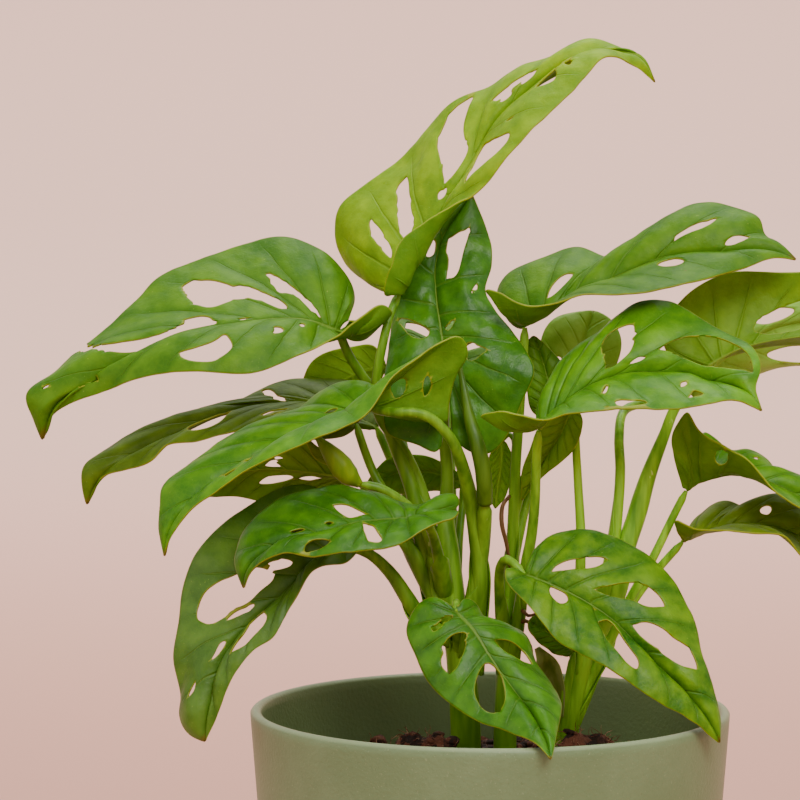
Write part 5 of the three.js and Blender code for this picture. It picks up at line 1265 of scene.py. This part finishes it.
def stalk_mesh(name, runs, resolution=5, spacing=2.4):
    """Round stalks as one mesh, from runs of placed points and radii in mm."""
    curve = bpy.data.curves.new(name, "CURVE")
    curve.dimensions = "3D"
    curve.bevel_depth = 1.0
    curve.bevel_resolution = resolution
    curve.use_fill_caps = True
    for placed, radii in runs:
        stalk_spline(curve, placed, radii, spacing)
    holder = bpy.data.objects.new(name, curve)
    bpy.context.scene.collection.objects.link(holder)
    graph = bpy.context.evaluated_depsgraph_get()
    mesh = bpy.data.meshes.new_from_object(holder.evaluated_get(graph))
    bpy.data.objects.remove(holder)
    bpy.data.curves.remove(curve)
    mesh.name = name
    return mesh


def wrap(bm, route, radii, facing, spans, shares=(0.0, 1.0), flare=0.6, cells=(30, 18), sink=0.0):
    """Adds an open sheet that wraps a stalk between two shares of its route.

    Spans are the half turns that it covers, in degrees, from its low to its high end. Flare lifts
    its two edges, and sink draws its high end into the stalk, both in mm."""
    made = bmesh.ops.create_grid(bm, x_segments=cells[0], y_segments=cells[1], size=0.5)
    along = np.array([vert.co.x + 0.5 for vert in made["verts"]])
    around = np.array([2 * vert.co.y for vert in made["verts"]])
    places = shares[0] + (shares[1] - shares[0]) * along
    tangents = route.at(np.minimum(places + 0.02, 1)) - route.at(np.maximum(places - 0.02, 0))
    tangents /= np.linalg.norm(tangents, axis=1, keepdims=True)
    facing = np.array(facing, float)
    front = facing - tangents * (tangents @ facing)[:, None]
    front /= np.linalg.norm(front, axis=1, keepdims=True)
    beside = np.cross(tangents, front)
    half_turn = np.radians(np.interp(along, np.linspace(0, 1, len(spans)), spans)) * around
    radius = np.interp(places, np.linspace(0, 1, len(radii)), radii)
    fading = smooth_step(0.55, 1.0, along) if sink else 0.0
    radius = radius + flare * np.abs(around) ** 3 * (1 - fading) - sink * fading
    outwards = front * np.cos(half_turn)[:, None] + beside * np.sin(half_turn)[:, None]
    for vert, place in zip(made["verts"], route.at(places) + outwards * radius[:, None]):
        vert.co = Vector(place * MM)


SHEET = 0.35  # thickness of sheaths and rolled leaves, in mm


def thick_sheet(bm, name, thickness):
    """A mesh from loose sheets, each given a thickness in mm."""
    bmesh.ops.recalc_face_normals(bm, faces=bm.faces)
    bmesh.ops.solidify(bm, geom=bm.faces[:], thickness=thickness * MM)
    bmesh.ops.recalc_face_normals(bm, faces=bm.faces)
    return smooth_mesh(bm, name)


def spun(profile, steps):
    """A surface turned from [radius, height] pairs in metres, smooth, with its doubles merged."""
    bm = bmesh.new()
    verts = [bm.verts.new((r, 0, z)) for r, z in profile]
    edges = [bm.edges.new(pair) for pair in zip(verts, verts[1:])]
    bmesh.ops.spin(bm, geom=verts + edges, cent=(0, 0, 0), axis=(0, 0, 1), angle=FULL_TURN,
        steps=steps, use_merge=True)
    bmesh.ops.remove_doubles(bm, verts=bm.verts, dist=1e-6)
    bmesh.ops.recalc_face_normals(bm, faces=bm.faces)
    for face in bm.faces:
        face.smooth = True
    return bm


# Settings

def colour_property(name, description, rgb):
    return bpy.props.FloatVectorProperty(name=name, description=description, subtype="COLOR",
        size=3, min=0.0, max=1.0, default=linear(*rgb))


def length_property(name, description, default, low, high):
    return bpy.props.FloatProperty(name=name, description=description, default=default, min=low,
        max=high, unit="LENGTH")


def count_property(name, description, default):
    return bpy.props.IntProperty(name=name, description=description, default=default, min=0,
        max=1200)


class MonsteraPotSettings(bpy.types.PropertyGroup):
    rim_radius: length_property("Rim radius", "Outside radius at the rim", 0.070, 0.05, 0.1)
    foot_radius: length_property("Foot radius", "Outside radius at the foot", 0.056, 0.04, 0.1)
    wall: length_property("Wall", "Thickness of the pot's wall", 0.0035, 0.002, 0.008)
    floor: length_property("Floor", "Thickness of the pot's floor", 0.006, 0.003, 0.012)
    glaze: colour_property("Glaze", "Sage green of the glaze", (106, 128, 90))
    cloud: colour_property("Cloud", "Paler clouding of the glaze", (116, 138, 100))
    # Rim is also the colour of the tiny painted glints on the glaze
    rim: colour_property("Rim", "Glaze worn thin on the rim and foot", (158, 168, 128))
    speck: colour_property("Speck", "Fine dark specks in the glaze", (74, 88, 48))
    inside: colour_property("Inside", "Darker olive inside the pot", (96, 112, 66))


class MonsteraSoilSettings(bpy.types.PropertyGroup):
    crumbs: count_property("Crumbs", "Loose crumbs of bark and coir on the mix", 420)
    fibres: count_property("Fibres", "Curled coir fibres on the mix", 420)
    dark: colour_property("Dark", "Damp peat", (44, 26, 17))
    bark: colour_property("Bark", "Reddish bark and coir", (112, 66, 46))
    fibre: colour_property("Fibre", "Pale coir fibres", (168, 122, 92))


class MonsteraLeafSettings(bpy.types.PropertyGroup):
    thickness: length_property("Blade thickness", "Thickness of a blade", 0.0005, 0.0002, 0.001)
    vein: colour_property("Vein", "Pale rib and side veins", (176, 200, 84))
    edge: colour_property("Edge", "Thin pale edge of the blade", (150, 152, 40))


class MonsteraStalkSettings(bpy.types.PropertyGroup):
    dark: colour_property("Dark", "Darker green of the stalks", (70, 120, 4))
    light: colour_property("Light", "Paler streaks of the stalks", (130, 180, 32))
    foot: colour_property("Foot", "Deeper green near the mix", (74, 112, 6))
    mark: colour_property("Mark", "Short pale marks on the stalks", (186, 200, 110))
    dry: colour_property("Dry sheath", "Papery dry sheath", (100, 126, 26))


class MonsteraStageSettings(bpy.types.PropertyGroup):
    floor: colour_property("Floor", "Pale floor and backdrop", (228, 188, 173))
    # Near is painted shade: the floor's deeper tone round the pot
    near: colour_property("Floor near the pot", "Deeper tone round the pot", (196, 144, 126))
    light: bpy.props.FloatProperty(name="Light", description="Strength of the studio lights",
        default=1.0, min=0.1, max=5.0)


# Each skin's dark and light green on top and underneath, how rough it is, how much its veins show,
# how thin it is to light and how it shines; UNDER overrides some of these for the underside

SKINS = {
    # Painted light: the top leaf's greens are brightened to stand in for light shining through it
    "bright": {"top": ((92, 132, 0), (138, 172, 0)), "under": ((66, 116, 0), (98, 144, 2)),
        "gloss": 0.5, "veins": 0.22, "thin": 0.3, "shine": 0.16},
    "fresh": {"top": ((50, 104, 0), (98, 152, 0)), "under": ((70, 116, 0), (98, 144, 4)),
        "gloss": 0.42, "veins": 0.16, "thin": 0.18, "shine": 0.2},
    "rich": {"top": ((34, 84, 0), (76, 132, 0)), "under": ((62, 104, 0), (88, 132, 4)),
        "gloss": 0.38, "veins": 0.16, "thin": 0.12, "shine": 0.22},
    "mid": {"top": ((48, 94, 0), (86, 130, 2)), "under": ((56, 100, 0), (84, 130, 4)),
        "gloss": 0.48, "veins": 0.16, "thin": 0.1, "shine": 0.16},
    "mottled": {"top": ((24, 84, 0), (104, 148, 0)), "under": ((62, 104, 0), (88, 132, 4)),
        "gloss": 0.42, "veins": 0.14, "thin": 0.15, "shine": 0.2},
    "sage": {"top": ((54, 92, 16), (86, 124, 34)), "under": ((56, 100, 0), (84, 130, 4)),
        "gloss": 0.44, "veins": 0.14, "thin": 0.1, "shine": 0.24},
    "deep": {"top": ((32, 84, 0), (74, 130, 0)), "under": ((62, 100, 0), (88, 130, 4)),
        "gloss": 0.36, "veins": 0.22, "thin": 0.05, "shine": 0.22},
    "shade": {"top": ((60, 84, 0), (90, 116, 12)), "under": ((58, 94, 0), (84, 122, 4)),
        "gloss": 0.48, "veins": 0.2, "thin": 0.1, "shine": 0.16},
    "olive": {"top": ((84, 108, 0), (114, 138, 4)), "under": ((82, 122, 0), (110, 150, 2)),
        "gloss": 0.5, "veins": 0.25, "thin": 0.2, "shine": 0.16},
    # Painted light: brighter greens for leaves that lie in shade, standing in for light shining
    # through them
    "painted_glow": {"top": ((84, 126, 0), (116, 156, 8)), "under": ((108, 148, 0), (132, 172, 12)),
        "gloss": 0.48, "veins": 0.2, "thin": 0.2, "shine": 0.16},
    # Painted light: pale greens for two leaves at the back that lie in shade, standing in for light
    # shining through them
    "pale": {"top": ((122, 168, 50), (150, 194, 80)), "under": ((100, 148, 20), (128, 174, 44)),
        "gloss": 0.5, "veins": 0.2, "thin": 0.15, "shine": 0.16},
}
UNDER = {"gloss": 0.55, "veins": 0.2, "shine": 0.2}


LEAF_SKINS = {
    # The top leaf's skin is painted light, brightened for light shining through it
    "bright": ["top"],
    "fresh": ["right_bright", "left_front", "right_folded"],
    "rich": ["front_shiny", "low_front"],
    "mid": ["far_left", "upper_right", "low_under", "small_dark", "back_high", "back_low"],
    "mottled": ["low_right"],
    "sage": ["lower_left"],
    "deep": ["centre"],
    "shade": ["left_back", "back_left"],
    "olive": ["far_right", "left_under", "right_low"],
    # Leaves in shade that get the painted light of brighter greens
    "painted_glow": ["wet_hanging", "behind_top", "small_hanging", "behind_stems"],
    # Two back leaves in shade whose pale greens are painted light
    "pale": ["pale_back", "back_right"],
}

PLAIN_RELIEF = {"puff": 0.6, "wave": 0.5, "crinkle": 0.5}
RELIEFS = {
    "leaf_centre": {"puff": 0.7, "crinkle": 1.3},
    "leaf_front_shiny": {"puff": 0.8, "crinkle": 0.8},
    "leaf_low_front": {"puff": 0.5, "crinkle": 0.9},
    "leaf_low_right": {"puff": 0.35, "crinkle": 0.9},
    "leaf_right_bright": {"crinkle": 0.8},
    "leaf_top": {"puff": 0.4, "crinkle": 0.7},
}

# Leaves of which the eye sees little or nothing get a coarser grid

HIDDEN = {"leaf_behind_top", "leaf_pale_back", "leaf_small_dark", "leaf_behind_stems",
    "leaf_small_hanging", "leaf_low_under", "leaf_back_right", "leaf_back_high", "leaf_back_low",
    "leaf_back_left"}

THIN_TISSUE = {"Subsurface Scale": 0.002, "Subsurface Radius": (0.6, 1.0, 0.15)}


def leaf_materials(settings):
    """A top and an underside for each leaf, made once for each skin."""
    pattern = blade_pattern()
    made = {}
    for skin, look in SKINS.items():
        finishes = []
        for side, bump in (("top", 0.0004), ("under", -0.0005)):
            face = {**look, **UNDER} if side == "under" else look
            dark, light = (opaque(linear(*colour)) for colour in look[side])
            values = {**swatches(settings, "Vein", "Edge"), "Dark": dark, "Light": light,
                "Vein Share": face["veins"], "Gloss": face["gloss"]}
            shader = {"Specular IOR Level": face["shine"], "Subsurface Weight": look["thin"],
                **THIN_TISSUE}
            finishes.append(material(f"leaf_{skin}_{side}", pattern, values, bump, shader))
        for leaf in LEAF_SKINS[skin]:
            made[f"leaf_{leaf}"] = finishes
    return made


# Operators

class MONSTERA_OT_pot(bpy.types.Operator):
    """Make the glazed pot with its rounded rim"""
    bl_idname = "monstera.pot"
    bl_label = "Pot"

    STEPS = 128
    BULGE = 0.7  # below 1 the wall widens faster near the foot
    RECESS = 0.0012
    # The foot ring, as steps inwards from the foot's radius with their heights, and the rounded
    # corner of the inner floor, as steps from the wall and above the floor
    FOOT = [(0.006, RECESS), (0.0045, 0), (0.0018, 0), (0.0006, 0.0006), (0, 0.0016)]
    CORNER = [(-0.001, 0.009), (0.0005, 0.003), (0.003, 0.0006), (0.007, 0)]

    def execute(self, context):
        pot = context.scene.monstera_pot

        def outer(z):
            widening = (pot.rim_radius - pot.foot_radius) * (z / POT_HEIGHT) ** self.BULGE
            return pot.foot_radius + widening

        lip = pot.wall / 2
        lip_radius, lip_height = pot.rim_radius - lip, POT_HEIGHT - lip
        outside = [(outer(z * POT_HEIGHT), z * POT_HEIGHT) for z in np.linspace(0.03, 0.975, 22)]
        inside = [(r - pot.wall, z) for r, z in reversed(outside) if z > 3 * pot.floor]
        round_rim = [(lip_radius + lip * math.cos(turn), lip_height + lip * math.sin(turn))
            for turn in np.linspace(0, math.pi, 9)[1:-1]]
        foot = [(0, self.RECESS), *((pot.foot_radius - step, z) for step, z in self.FOOT)]
        inner_floor = outer(pot.floor) - pot.wall
        floor = [*((inner_floor - step, pot.floor + z) for step, z in self.CORNER), (0, pot.floor)]
        bm = spun([*foot, *outside, *round_rim, *inside, *floor], self.STEPS)
        layer = bm.verts.layers.float.new("inside")
        for vert in bm.verts:
            z = max(vert.co.z, 0)
            within = vert.co.xy.length < outer(z) - 0.6 * pot.wall
            vert[layer] = float(z > 0.5 * pot.floor and within)
        finish = material("glaze_sage", glaze_pattern(), swatches(pot, *POT_COLOURS), 0.00016,
            {"Specular IOR Level": 0.25, "Coat Weight": 0.05, "Coat Roughness": 0.35})
        add_piece("pot_glazed", smooth_mesh(bm, "pot_glazed"), ["pot"], [finish])
        return {"FINISHED"}


class MONSTERA_OT_soil(bpy.types.Operator):
    """Make the mounded potting mix with its coir clumps, loose crumbs and curled fibres"""
    bl_idname = "monstera.soil"
    bl_label = "Potting mix"

    STEPS = 120
    RADIUS = 0.0625
    LEVEL = 0.1085
    MOUND = 0.008
    MOUND_RADIUS = 0.03
    FIBRE_PARTS = 5
    FIBRE_STEP = 1.1
    FIBRE_RADII = [0.12, 0.11, 0.06]
    # Clumps of coir, in mm: x, y, width and height
    CLUMPS = [(-16, -13, 7, 10), (-25, -9, 6, 9), (-34, 2, 6, 6), (24, -13, 7, 12),
        (34, -11, 6, 11), (43, -6, 6, 8), (12, -24, 8, 4), (-8, -26, 7, 3), (10, 30, 12, 4),
        (-20, 28, 10, 4)]

    def top(self, x, y):
        """The height of the mix at a place, in metres as x and y are."""
        r = math.hypot(x, y)
        rise = self.MOUND * math.exp(-((r / self.MOUND_RADIUS) ** 2))
        for cx, cy, width, height in self.CLUMPS:
            apart = (x - cx * MM) ** 2 + (y - cy * MM) ** 2
            rise += height * MM * math.exp(-apart / (width * MM) ** 2)
        place = Vector((x, y, 0.3))
        rough = 0.0022 * noise.fractal(place * 130, 0.7, 2.0, 4) + 0.0010 * noise.noise(place * 600)
        return self.LEVEL + rise + rough * smooth_step(0.0, 0.004, self.RADIUS - r + 0.002)

    def fibres(self, count, chance):
        """Thin curled fibres that stand off the clumps, in mm."""
        runs = []
        for _ in range(count):
            cx, cy, width, _ = chance.choice(self.CLUMPS)
            x = (cx + chance.gauss(0, 0.6 * width)) * MM
            y = (cy + chance.gauss(0, 0.6 * width)) * MM
            place = np.array([x, y, self.top(x, y) - 0.0005]) / MM
            heading = np.array([chance.gauss(0, 1), chance.gauss(0, 1), chance.uniform(-0.4, 0.45)])
            points = [place]
            for _ in range(self.FIBRE_PARTS):
                curl = np.array([chance.gauss(0, 0.5) for _ in range(3)])
                heading = heading / np.linalg.norm(heading) + curl
                points.append(points[-1] + self.FIBRE_STEP * heading / np.linalg.norm(heading))
            if max(np.hypot(point[0], point[1]) for point in points) < self.RADIUS / MM - 1:
                runs.append((np.array(points), self.FIBRE_RADII))
        return stalk_mesh("coir_fibres", runs, resolution=1, spacing=1.0)

    def add_crumb(self, bm, chance):
        """One loose crumb somewhere on the mix, squashed, tilted and roughened."""
        turn = chance.uniform(0, FULL_TURN)
        r = self.RADIUS * 0.96 * math.sqrt(chance.random())
        x, y = r * math.cos(turn), r * math.sin(turn)
        size = chance.uniform(0.0006, 0.0022) * (1.6 if chance.random() < 0.08 else 1)
        spot = Matrix.Translation((x, y, self.top(x, y) + 0.2 * size))
        tilt = Matrix.Rotation(chance.uniform(0, 6.3), 4, "Z")
        tilt = tilt @ Matrix.Rotation(chance.uniform(-0.8, 0.8), 4, "X")
        wide = size * chance.uniform(0.8, 1.9)
        shape = Matrix.Diagonal((wide, size, size * chance.uniform(0.4, 0.8), 1))
        made = bmesh.ops.create_icosphere(bm, subdivisions=2, radius=1, matrix=spot @ tilt @ shape)
        for vert in made["verts"]:
            vert.co += 0.35 * size * noise.noise_vector(vert.co * (0.9 / size))

    def execute(self, context):
        soil = context.scene.monstera_soil
        chance = random.Random(7)
        low = self.LEVEL - 0.012
        surface = [(r, self.LEVEL) for r in np.linspace(0, self.RADIUS, 44)]
        bm = spun([*surface, (self.RADIUS - 0.001, low), (0, low)], self.STEPS)
        for vert in bm.verts:
            if vert.co.z > self.LEVEL - 0.001:
                vert.co.z = self.top(vert.co.x, vert.co.y)
        for _ in range(soil.crumbs):
            self.add_crumb(bm, chance)
        bmesh.ops.recalc_face_normals(bm, faces=bm.faces)
        mesh = smooth_mesh(bm, "potting_mix")
        fibres = self.fibres(soil.fibres, chance)
        pattern = soil_pattern()
        damp = material("potting_mix", pattern, swatches(soil, "Dark", "Bark", "Fibre"), 0.0005,
            {"Specular IOR Level": 0.25})
        tones = {"Dark": opaque(soil.bark), "Bark": opaque(soil.fibre), "Fibre": opaque(soil.fibre)}
        coir = material("coir_fibres", pattern, tones, 0.0002, {"Specular IOR Level": 0.2})
        add_piece("potting_mix", mesh, ["soil"], [damp])
        add_piece("coir_fibres", fibres, [], [coir])
        return {"FINISHED"}


class MONSTERA_OT_shoots(bpy.types.Operator):
    """Make the three shoots with their petioles, sheaths and aerial roots"""
    bl_idname = "monstera.shoots"
    bl_label = "Shoots"

    FOOT = 112  # where the stems end inside the mix, in mm
    STOUT = 1.9  # the foot radius from which a petiole has a sheath, in mm
    SHEATH_SPANS = (150, 140, 125, 100, 55, 12)
    TINTS = {"stem_left": 0.85, "stem_middle": 1.05, "stem_right": 1.45}
    # Paths and radii of the aerial roots, in mm as the eye writes them
    ROOTS = [
        ([[5.6, -1, 192], [3.6, -5, 189], [3.4, -7, 184], [4.8, -6, 178], [5.8, -2, 171]],
            [0.5, 0.7, 0.6, 0.5]),
        ([[6.5, -2, 156], [9.4, -9, 158.5], [11.4, -12, 156.9], [14.3, -13, 158.2],
            [16, -13, 160.4]], [0.8, 0.6, 0.2]),
        ([[6.5, -3, 153], [10.5, -10, 155.4], [12.6, -13, 153.6], [14.8, -13, 150.5]],
            [0.8, 0.6, 0.2]),
        ([[7, -2, 150], [9.8, -9, 151], [12, -11, 148], [12.6, -12, 144]], [0.7, 0.5, 0.2]),
    ]

    def execute(self, context):
        pattern = stalk_pattern()
        for name, shoot in SHOOTS.items():
            tone = name.split("_")[1]
            finish = self.skin(name, pattern, context.scene.monstera_stalk)
            foot = np.array([[*shoot["foot"], self.FOOT]])
            stem = np.concatenate([foot, from_eye(shoot["stem"])])
            runs = [(stem, [shoot["radii"][0], *shoot["radii"]])]
            for petiole in shoot["petioles"]:
                placed = [*from_eye(petiole["path"]), self.joint(petiole["leaf"])]
                runs.append((np.array(placed), petiole["radii"]))
            add_piece(f"shoot_{tone}", stalk_mesh(name, runs), [name], [finish])
            sheaths = self.sheaths(name, shoot, runs)
            add_piece(f"sheaths_{tone}", sheaths, [], [finish])
        brown, tan = opaque(linear(66, 42, 22)), opaque(linear(122, 88, 50))
        tones = {"Dark": brown, "Light": tan, "Foot": brown, "Mark": tan}
        bark = material("root_brown", pattern, tones, 0.0004, {"Specular IOR Level": 0.2})
        roots = [(from_eye(path), radii) for path, radii in self.ROOTS]
        mesh = stalk_mesh("aerial_roots", roots, resolution=3, spacing=1.2)
        add_piece("aerial_roots", mesh, [], [bark])
        return {"FINISHED"}

    def skin(self, name, pattern, stalk):
        """Petiole skin, lighter or darker from one shoot to the next."""
        values = {label: opaque(min(1.0, self.TINTS[name] * part) for part in colour[:3])
            for label, colour in swatches(stalk, "Dark", "Light", "Foot", "Mark").items()}
        return material(f"{name}_skin", pattern, values, 0.00035,
            {"Specular IOR Level": 0.3, "Subsurface Weight": 0.15, **THIN_TISSUE})

    def sheaths(self, name, shoot, runs):
        """Open sheaths that hug the lower half of each stout petiole, each turned its own way."""
        bm = bmesh.new()
        for order, (petiole, (placed, radii)) in enumerate(zip(shoot["petioles"], runs[1:])):
            if radii[0] >= self.STOUT:
                turn = petiole.get("turn", 2.4 * order + 0.7)
                facing = (math.cos(turn), math.sin(turn), 0.0)
                swollen = [radius + 0.35 for radius in radii]
                reach = 0.46 + 0.05 * (order % 3)
                wrap(bm, Route(placed), swollen, facing, self.SHEATH_SPANS, (0.0, reach), sink=0.9)
        return thick_sheet(bm, f"sheaths_{name}", SHEET)

    def joint(self, leaf):
        """Where a petiole meets its leaf, placed in mm."""
        path = LEAVES[leaf]["rib"] if leaf in LEAVES else ROLLS[leaf]["path"]
        return from_eye(path)[0]


class MONSTERA_OT_blades(bpy.types.Operator):
    """Make the open leaves with their holes, ribs and puffed panels"""
    bl_idname = "monstera.blades"
    bl_label = "Leaves"

    def execute(self, context):
        settings = context.scene.monstera_leaf
        finishes = leaf_materials(settings)
        for order, (name, leaf) in enumerate(LEAVES.items()):
            look = {**PLAIN_RELIEF, "phase": 0.37 * order, **RELIEFS.get(name, {})}
            mesh = blade_mesh(name, leaf, look, HIDDEN_CELL if name in HIDDEN else CELL)
            label = name.replace("leaf_", "blade_")
            piece = add_piece(label, mesh, [name], finishes[name])
            smoother = piece.modifiers.new("Round", "SUBSURF")
            smoother.levels = smoother.render_levels = 1
            skin = piece.modifiers.new("Skin", "SOLIDIFY")
            skin.thickness = settings.thickness
            skin.offset = 0.0
            skin.material_offset = 1
        return {"FINISHED"}


class MONSTERA_OT_rolls(bpy.types.Operator):
    """Make the rolled young leaf, the spear and the dry sheath"""
    bl_idname = "monstera.rolls"
    bl_label = "Rolled leaves"

    # What each is wrapped from: its half turns in degrees, the way it faces, the flare of its edges
    # in mm, and the share of its path that a second sheet inside it covers
    SHEETS = {
        "leaf_furled": ((178, 176, 172, 165, 150), (0.5, -1.0, -0.3), 0.3, (0.0, 0.98)),
        "leaf_spear": ((178, 176, 174, 170, 160), (0.8, -0.8, 0.0), 0.25, (0.0, 0.99)),
        "sheath_dry": ((130, 120, 105, 85, 30), (-0.3, 1.0, 0.2), 1.0, None),
    }
    INNER_RADIUS = 0.72
    INNER_SPANS = (178, 178, 178)

    def execute(self, context):
        dry = tuple(context.scene.monstera_stalk.dry)
        tones = {
            "leaf_furled": (linear(88, 130, 6), linear(132, 160, 24), "leaf"),
            "leaf_spear": (linear(46, 84, 4), linear(82, 116, 18), "spear"),
            "sheath_dry": (dry, linear(156, 168, 88), "dry_sheath"),
        }
        pattern = bpy.data.node_groups["Stalk skin"]
        for name, roll in ROLLS.items():
            dark, light, slot = tones[name]
            values = {"Dark": opaque(dark), "Light": opaque(light), "Foot": opaque(dark),
                "Mark": opaque(light)}
            finish = material(f"{name}_skin", pattern, values, 0.0003, {"Specular IOR Level": 0.25})
            route = Route(from_eye(roll["path"]))
            bm = bmesh.new()
            spans, facing, flare, inner_shares = self.SHEETS[name]
            wrap(bm, route, roll["radii"], facing, spans, flare=flare, cells=(44, 40))
            if inner_shares:
                inner = [self.INNER_RADIUS * radius for radius in roll["radii"]]
                wrap(bm, route, inner, [-part for part in facing], self.INNER_SPANS, inner_shares,
                    0.1, (40, 24))
            add_piece(f"{name}_rolled", thick_sheet(bm, name, SHEET), [name], [finish])
        return {"FINISHED"}


class MONSTERA_OT_stage(bpy.types.Operator):
    """Set the pale floor, the soft lights and the camera"""
    bl_idname = "monstera.stage"
    bl_label = "Stage"

    # The floor and the backdrop that it curves up into, as radii and heights in metres
    SWEEP = [(0, 0), (2.2, 0), (2.8, 0.03), (3.3, 0.2), (3.7, 0.5), (3.9, 0.9), (4.0, 1.3)]
    STEPS = 96
    # The floor's painted shade round the pot fades out between these distances
    FADES = (0.4, 3.2)  # how far off the floor's tone starts and ends to pale
    WHITE = (1.0, 0.97, 0.95)
    AMBIENT = 0.85
    # Each light's place, what it points at, its width, its power in watts and its colour
    LIGHTS = {
        "key": ((0.45, -1.45, 1.5), (0.0, 0.0, 0.2), 1.1, 33, (1.0, 0.98, 0.94)),
        "fill": ((-1.5, -1.0, 0.9), (0.0, 0.0, 0.25), 1.6, 7, (0.93, 0.96, 1.0)),
        "top": ((0.1, 0.5, 1.7), (0.0, 0.0, 0.25), 1.2, 16, (1.0, 1.0, 1.0)),
        "backdrop": ((0.0, 1.6, 2.2), (0.0, 3.6, 0.5), 2.4, 90, (1.0, 0.97, 0.94)),
    }

    def execute(self, context):
        scene = context.scene
        stage = scene.monstera_stage
        self.floor(scene, stage)
        world = bpy.data.worlds.new("studio")
        scene.world = world
        world.use_nodes = True
        back = world.node_tree.nodes["Background"]
        back.inputs["Color"].default_value = opaque(self.WHITE)
        back.inputs["Strength"].default_value = self.AMBIENT * stage.light
        for name, (place, target, size, power, colour) in self.LIGHTS.items():
            light = bpy.data.lights.new(name, "AREA")
            light.shape = "DISK"
            light.size = size
            light.energy = power * stage.light
            light.color = colour
            self.aim(scene, name, light, Vector(place), Vector(target))
        lens = bpy.data.cameras.new("camera")
        lens.lens = EYE_LENS
        lens.sensor_width = SENSOR
        scene.camera = self.aim(scene, "camera", lens, Vector(EYE * MM), EYE_TARGET)
        return {"FINISHED"}

    def floor(self, scene, stage):
        """The floor, with its faces turned to the plant and painted shade that deepens its tone
        round the pot and pales further off.
        """
        bm = spun(self.SWEEP, self.STEPS)
        bmesh.ops.reverse_faces(bm, faces=[face for face in bm.faces
            if face.calc_center_median().dot(face.normal) > 0 and abs(face.normal.z) < 0.999])
        for face in bm.faces:
            if face.normal.z < -0.5:
                face.normal_flip()
        mesh = smooth_mesh(bm, "floor")
        paint = bpy.data.materials.new("pale_floor")
        paint.use_nodes = True
        graph = Graph(paint.node_tree)
        away = graph.add("ShaderNodeVectorMath", {0: graph.object_place()}, operation="LENGTH")
        # Painted shade on the floor, deepest round the pot
        near = graph.between(away.outputs["Value"], *self.FADES, 1.0, 0.0)
        tone = graph.mix(near, opaque(stage.floor), opaque(stage.near))
        shader = paint.node_tree.nodes["Principled BSDF"]
        graph.feed(shader, {"Base Color": tone, "Roughness": 0.9})
        mesh.materials.append(paint)
        ground = bpy.data.objects.new("floor", mesh)
        scene.collection.objects.link(ground)

    def aim(self, scene, name, data, place, target):
        """Adds a light or camera at a place, pointed at its target."""
        thing = bpy.data.objects.new(name, data)
        thing.location = place
        thing.rotation_euler = (target - place).to_track_quat("-Z", "Y").to_euler()
        scene.collection.objects.link(thing)
        return thing


class MONSTERA_PT_sidebar(bpy.types.Panel):
    """The pieces of the plant, in the order they are made"""
    bl_label = "Potted Monstera"
    bl_idname = "MONSTERA_PT_sidebar"
    bl_space_type = "VIEW_3D"
    bl_region_type = "UI"
    bl_category = "Monstera"

    def draw(self, context):
        for operator in OPERATORS:
            self.layout.operator(operator.bl_idname)


OPERATORS = (MONSTERA_OT_stage, MONSTERA_OT_pot, MONSTERA_OT_soil, MONSTERA_OT_shoots,
    MONSTERA_OT_blades, MONSTERA_OT_rolls)
SETTINGS = {
    "monstera_pot": MonsteraPotSettings,
    "monstera_soil": MonsteraSoilSettings,
    "monstera_leaf": MonsteraLeafSettings,
    "monstera_stalk": MonsteraStalkSettings,
    "monstera_stage": MonsteraStageSettings,
}
CLASSES = (*SETTINGS.values(), *OPERATORS, MONSTERA_PT_sidebar)


def register():
    for kind in CLASSES:
        bpy.utils.register_class(kind)
    for name, kind in SETTINGS.items():
        setattr(bpy.types.Scene, name, bpy.props.PointerProperty(type=kind))


def unregister():
    for name in SETTINGS:
        delattr(bpy.types.Scene, name)
    for kind in reversed(CLASSES):
        bpy.utils.unregister_class(kind)


def main():
    register()
    bpy.ops.monstera.stage()
    bpy.ops.monstera.pot()
    bpy.ops.monstera.soil()
    bpy.ops.monstera.shoots()
    bpy.ops.monstera.blades()
    bpy.ops.monstera.rolls()


if __name__ == "__main__":
    main()
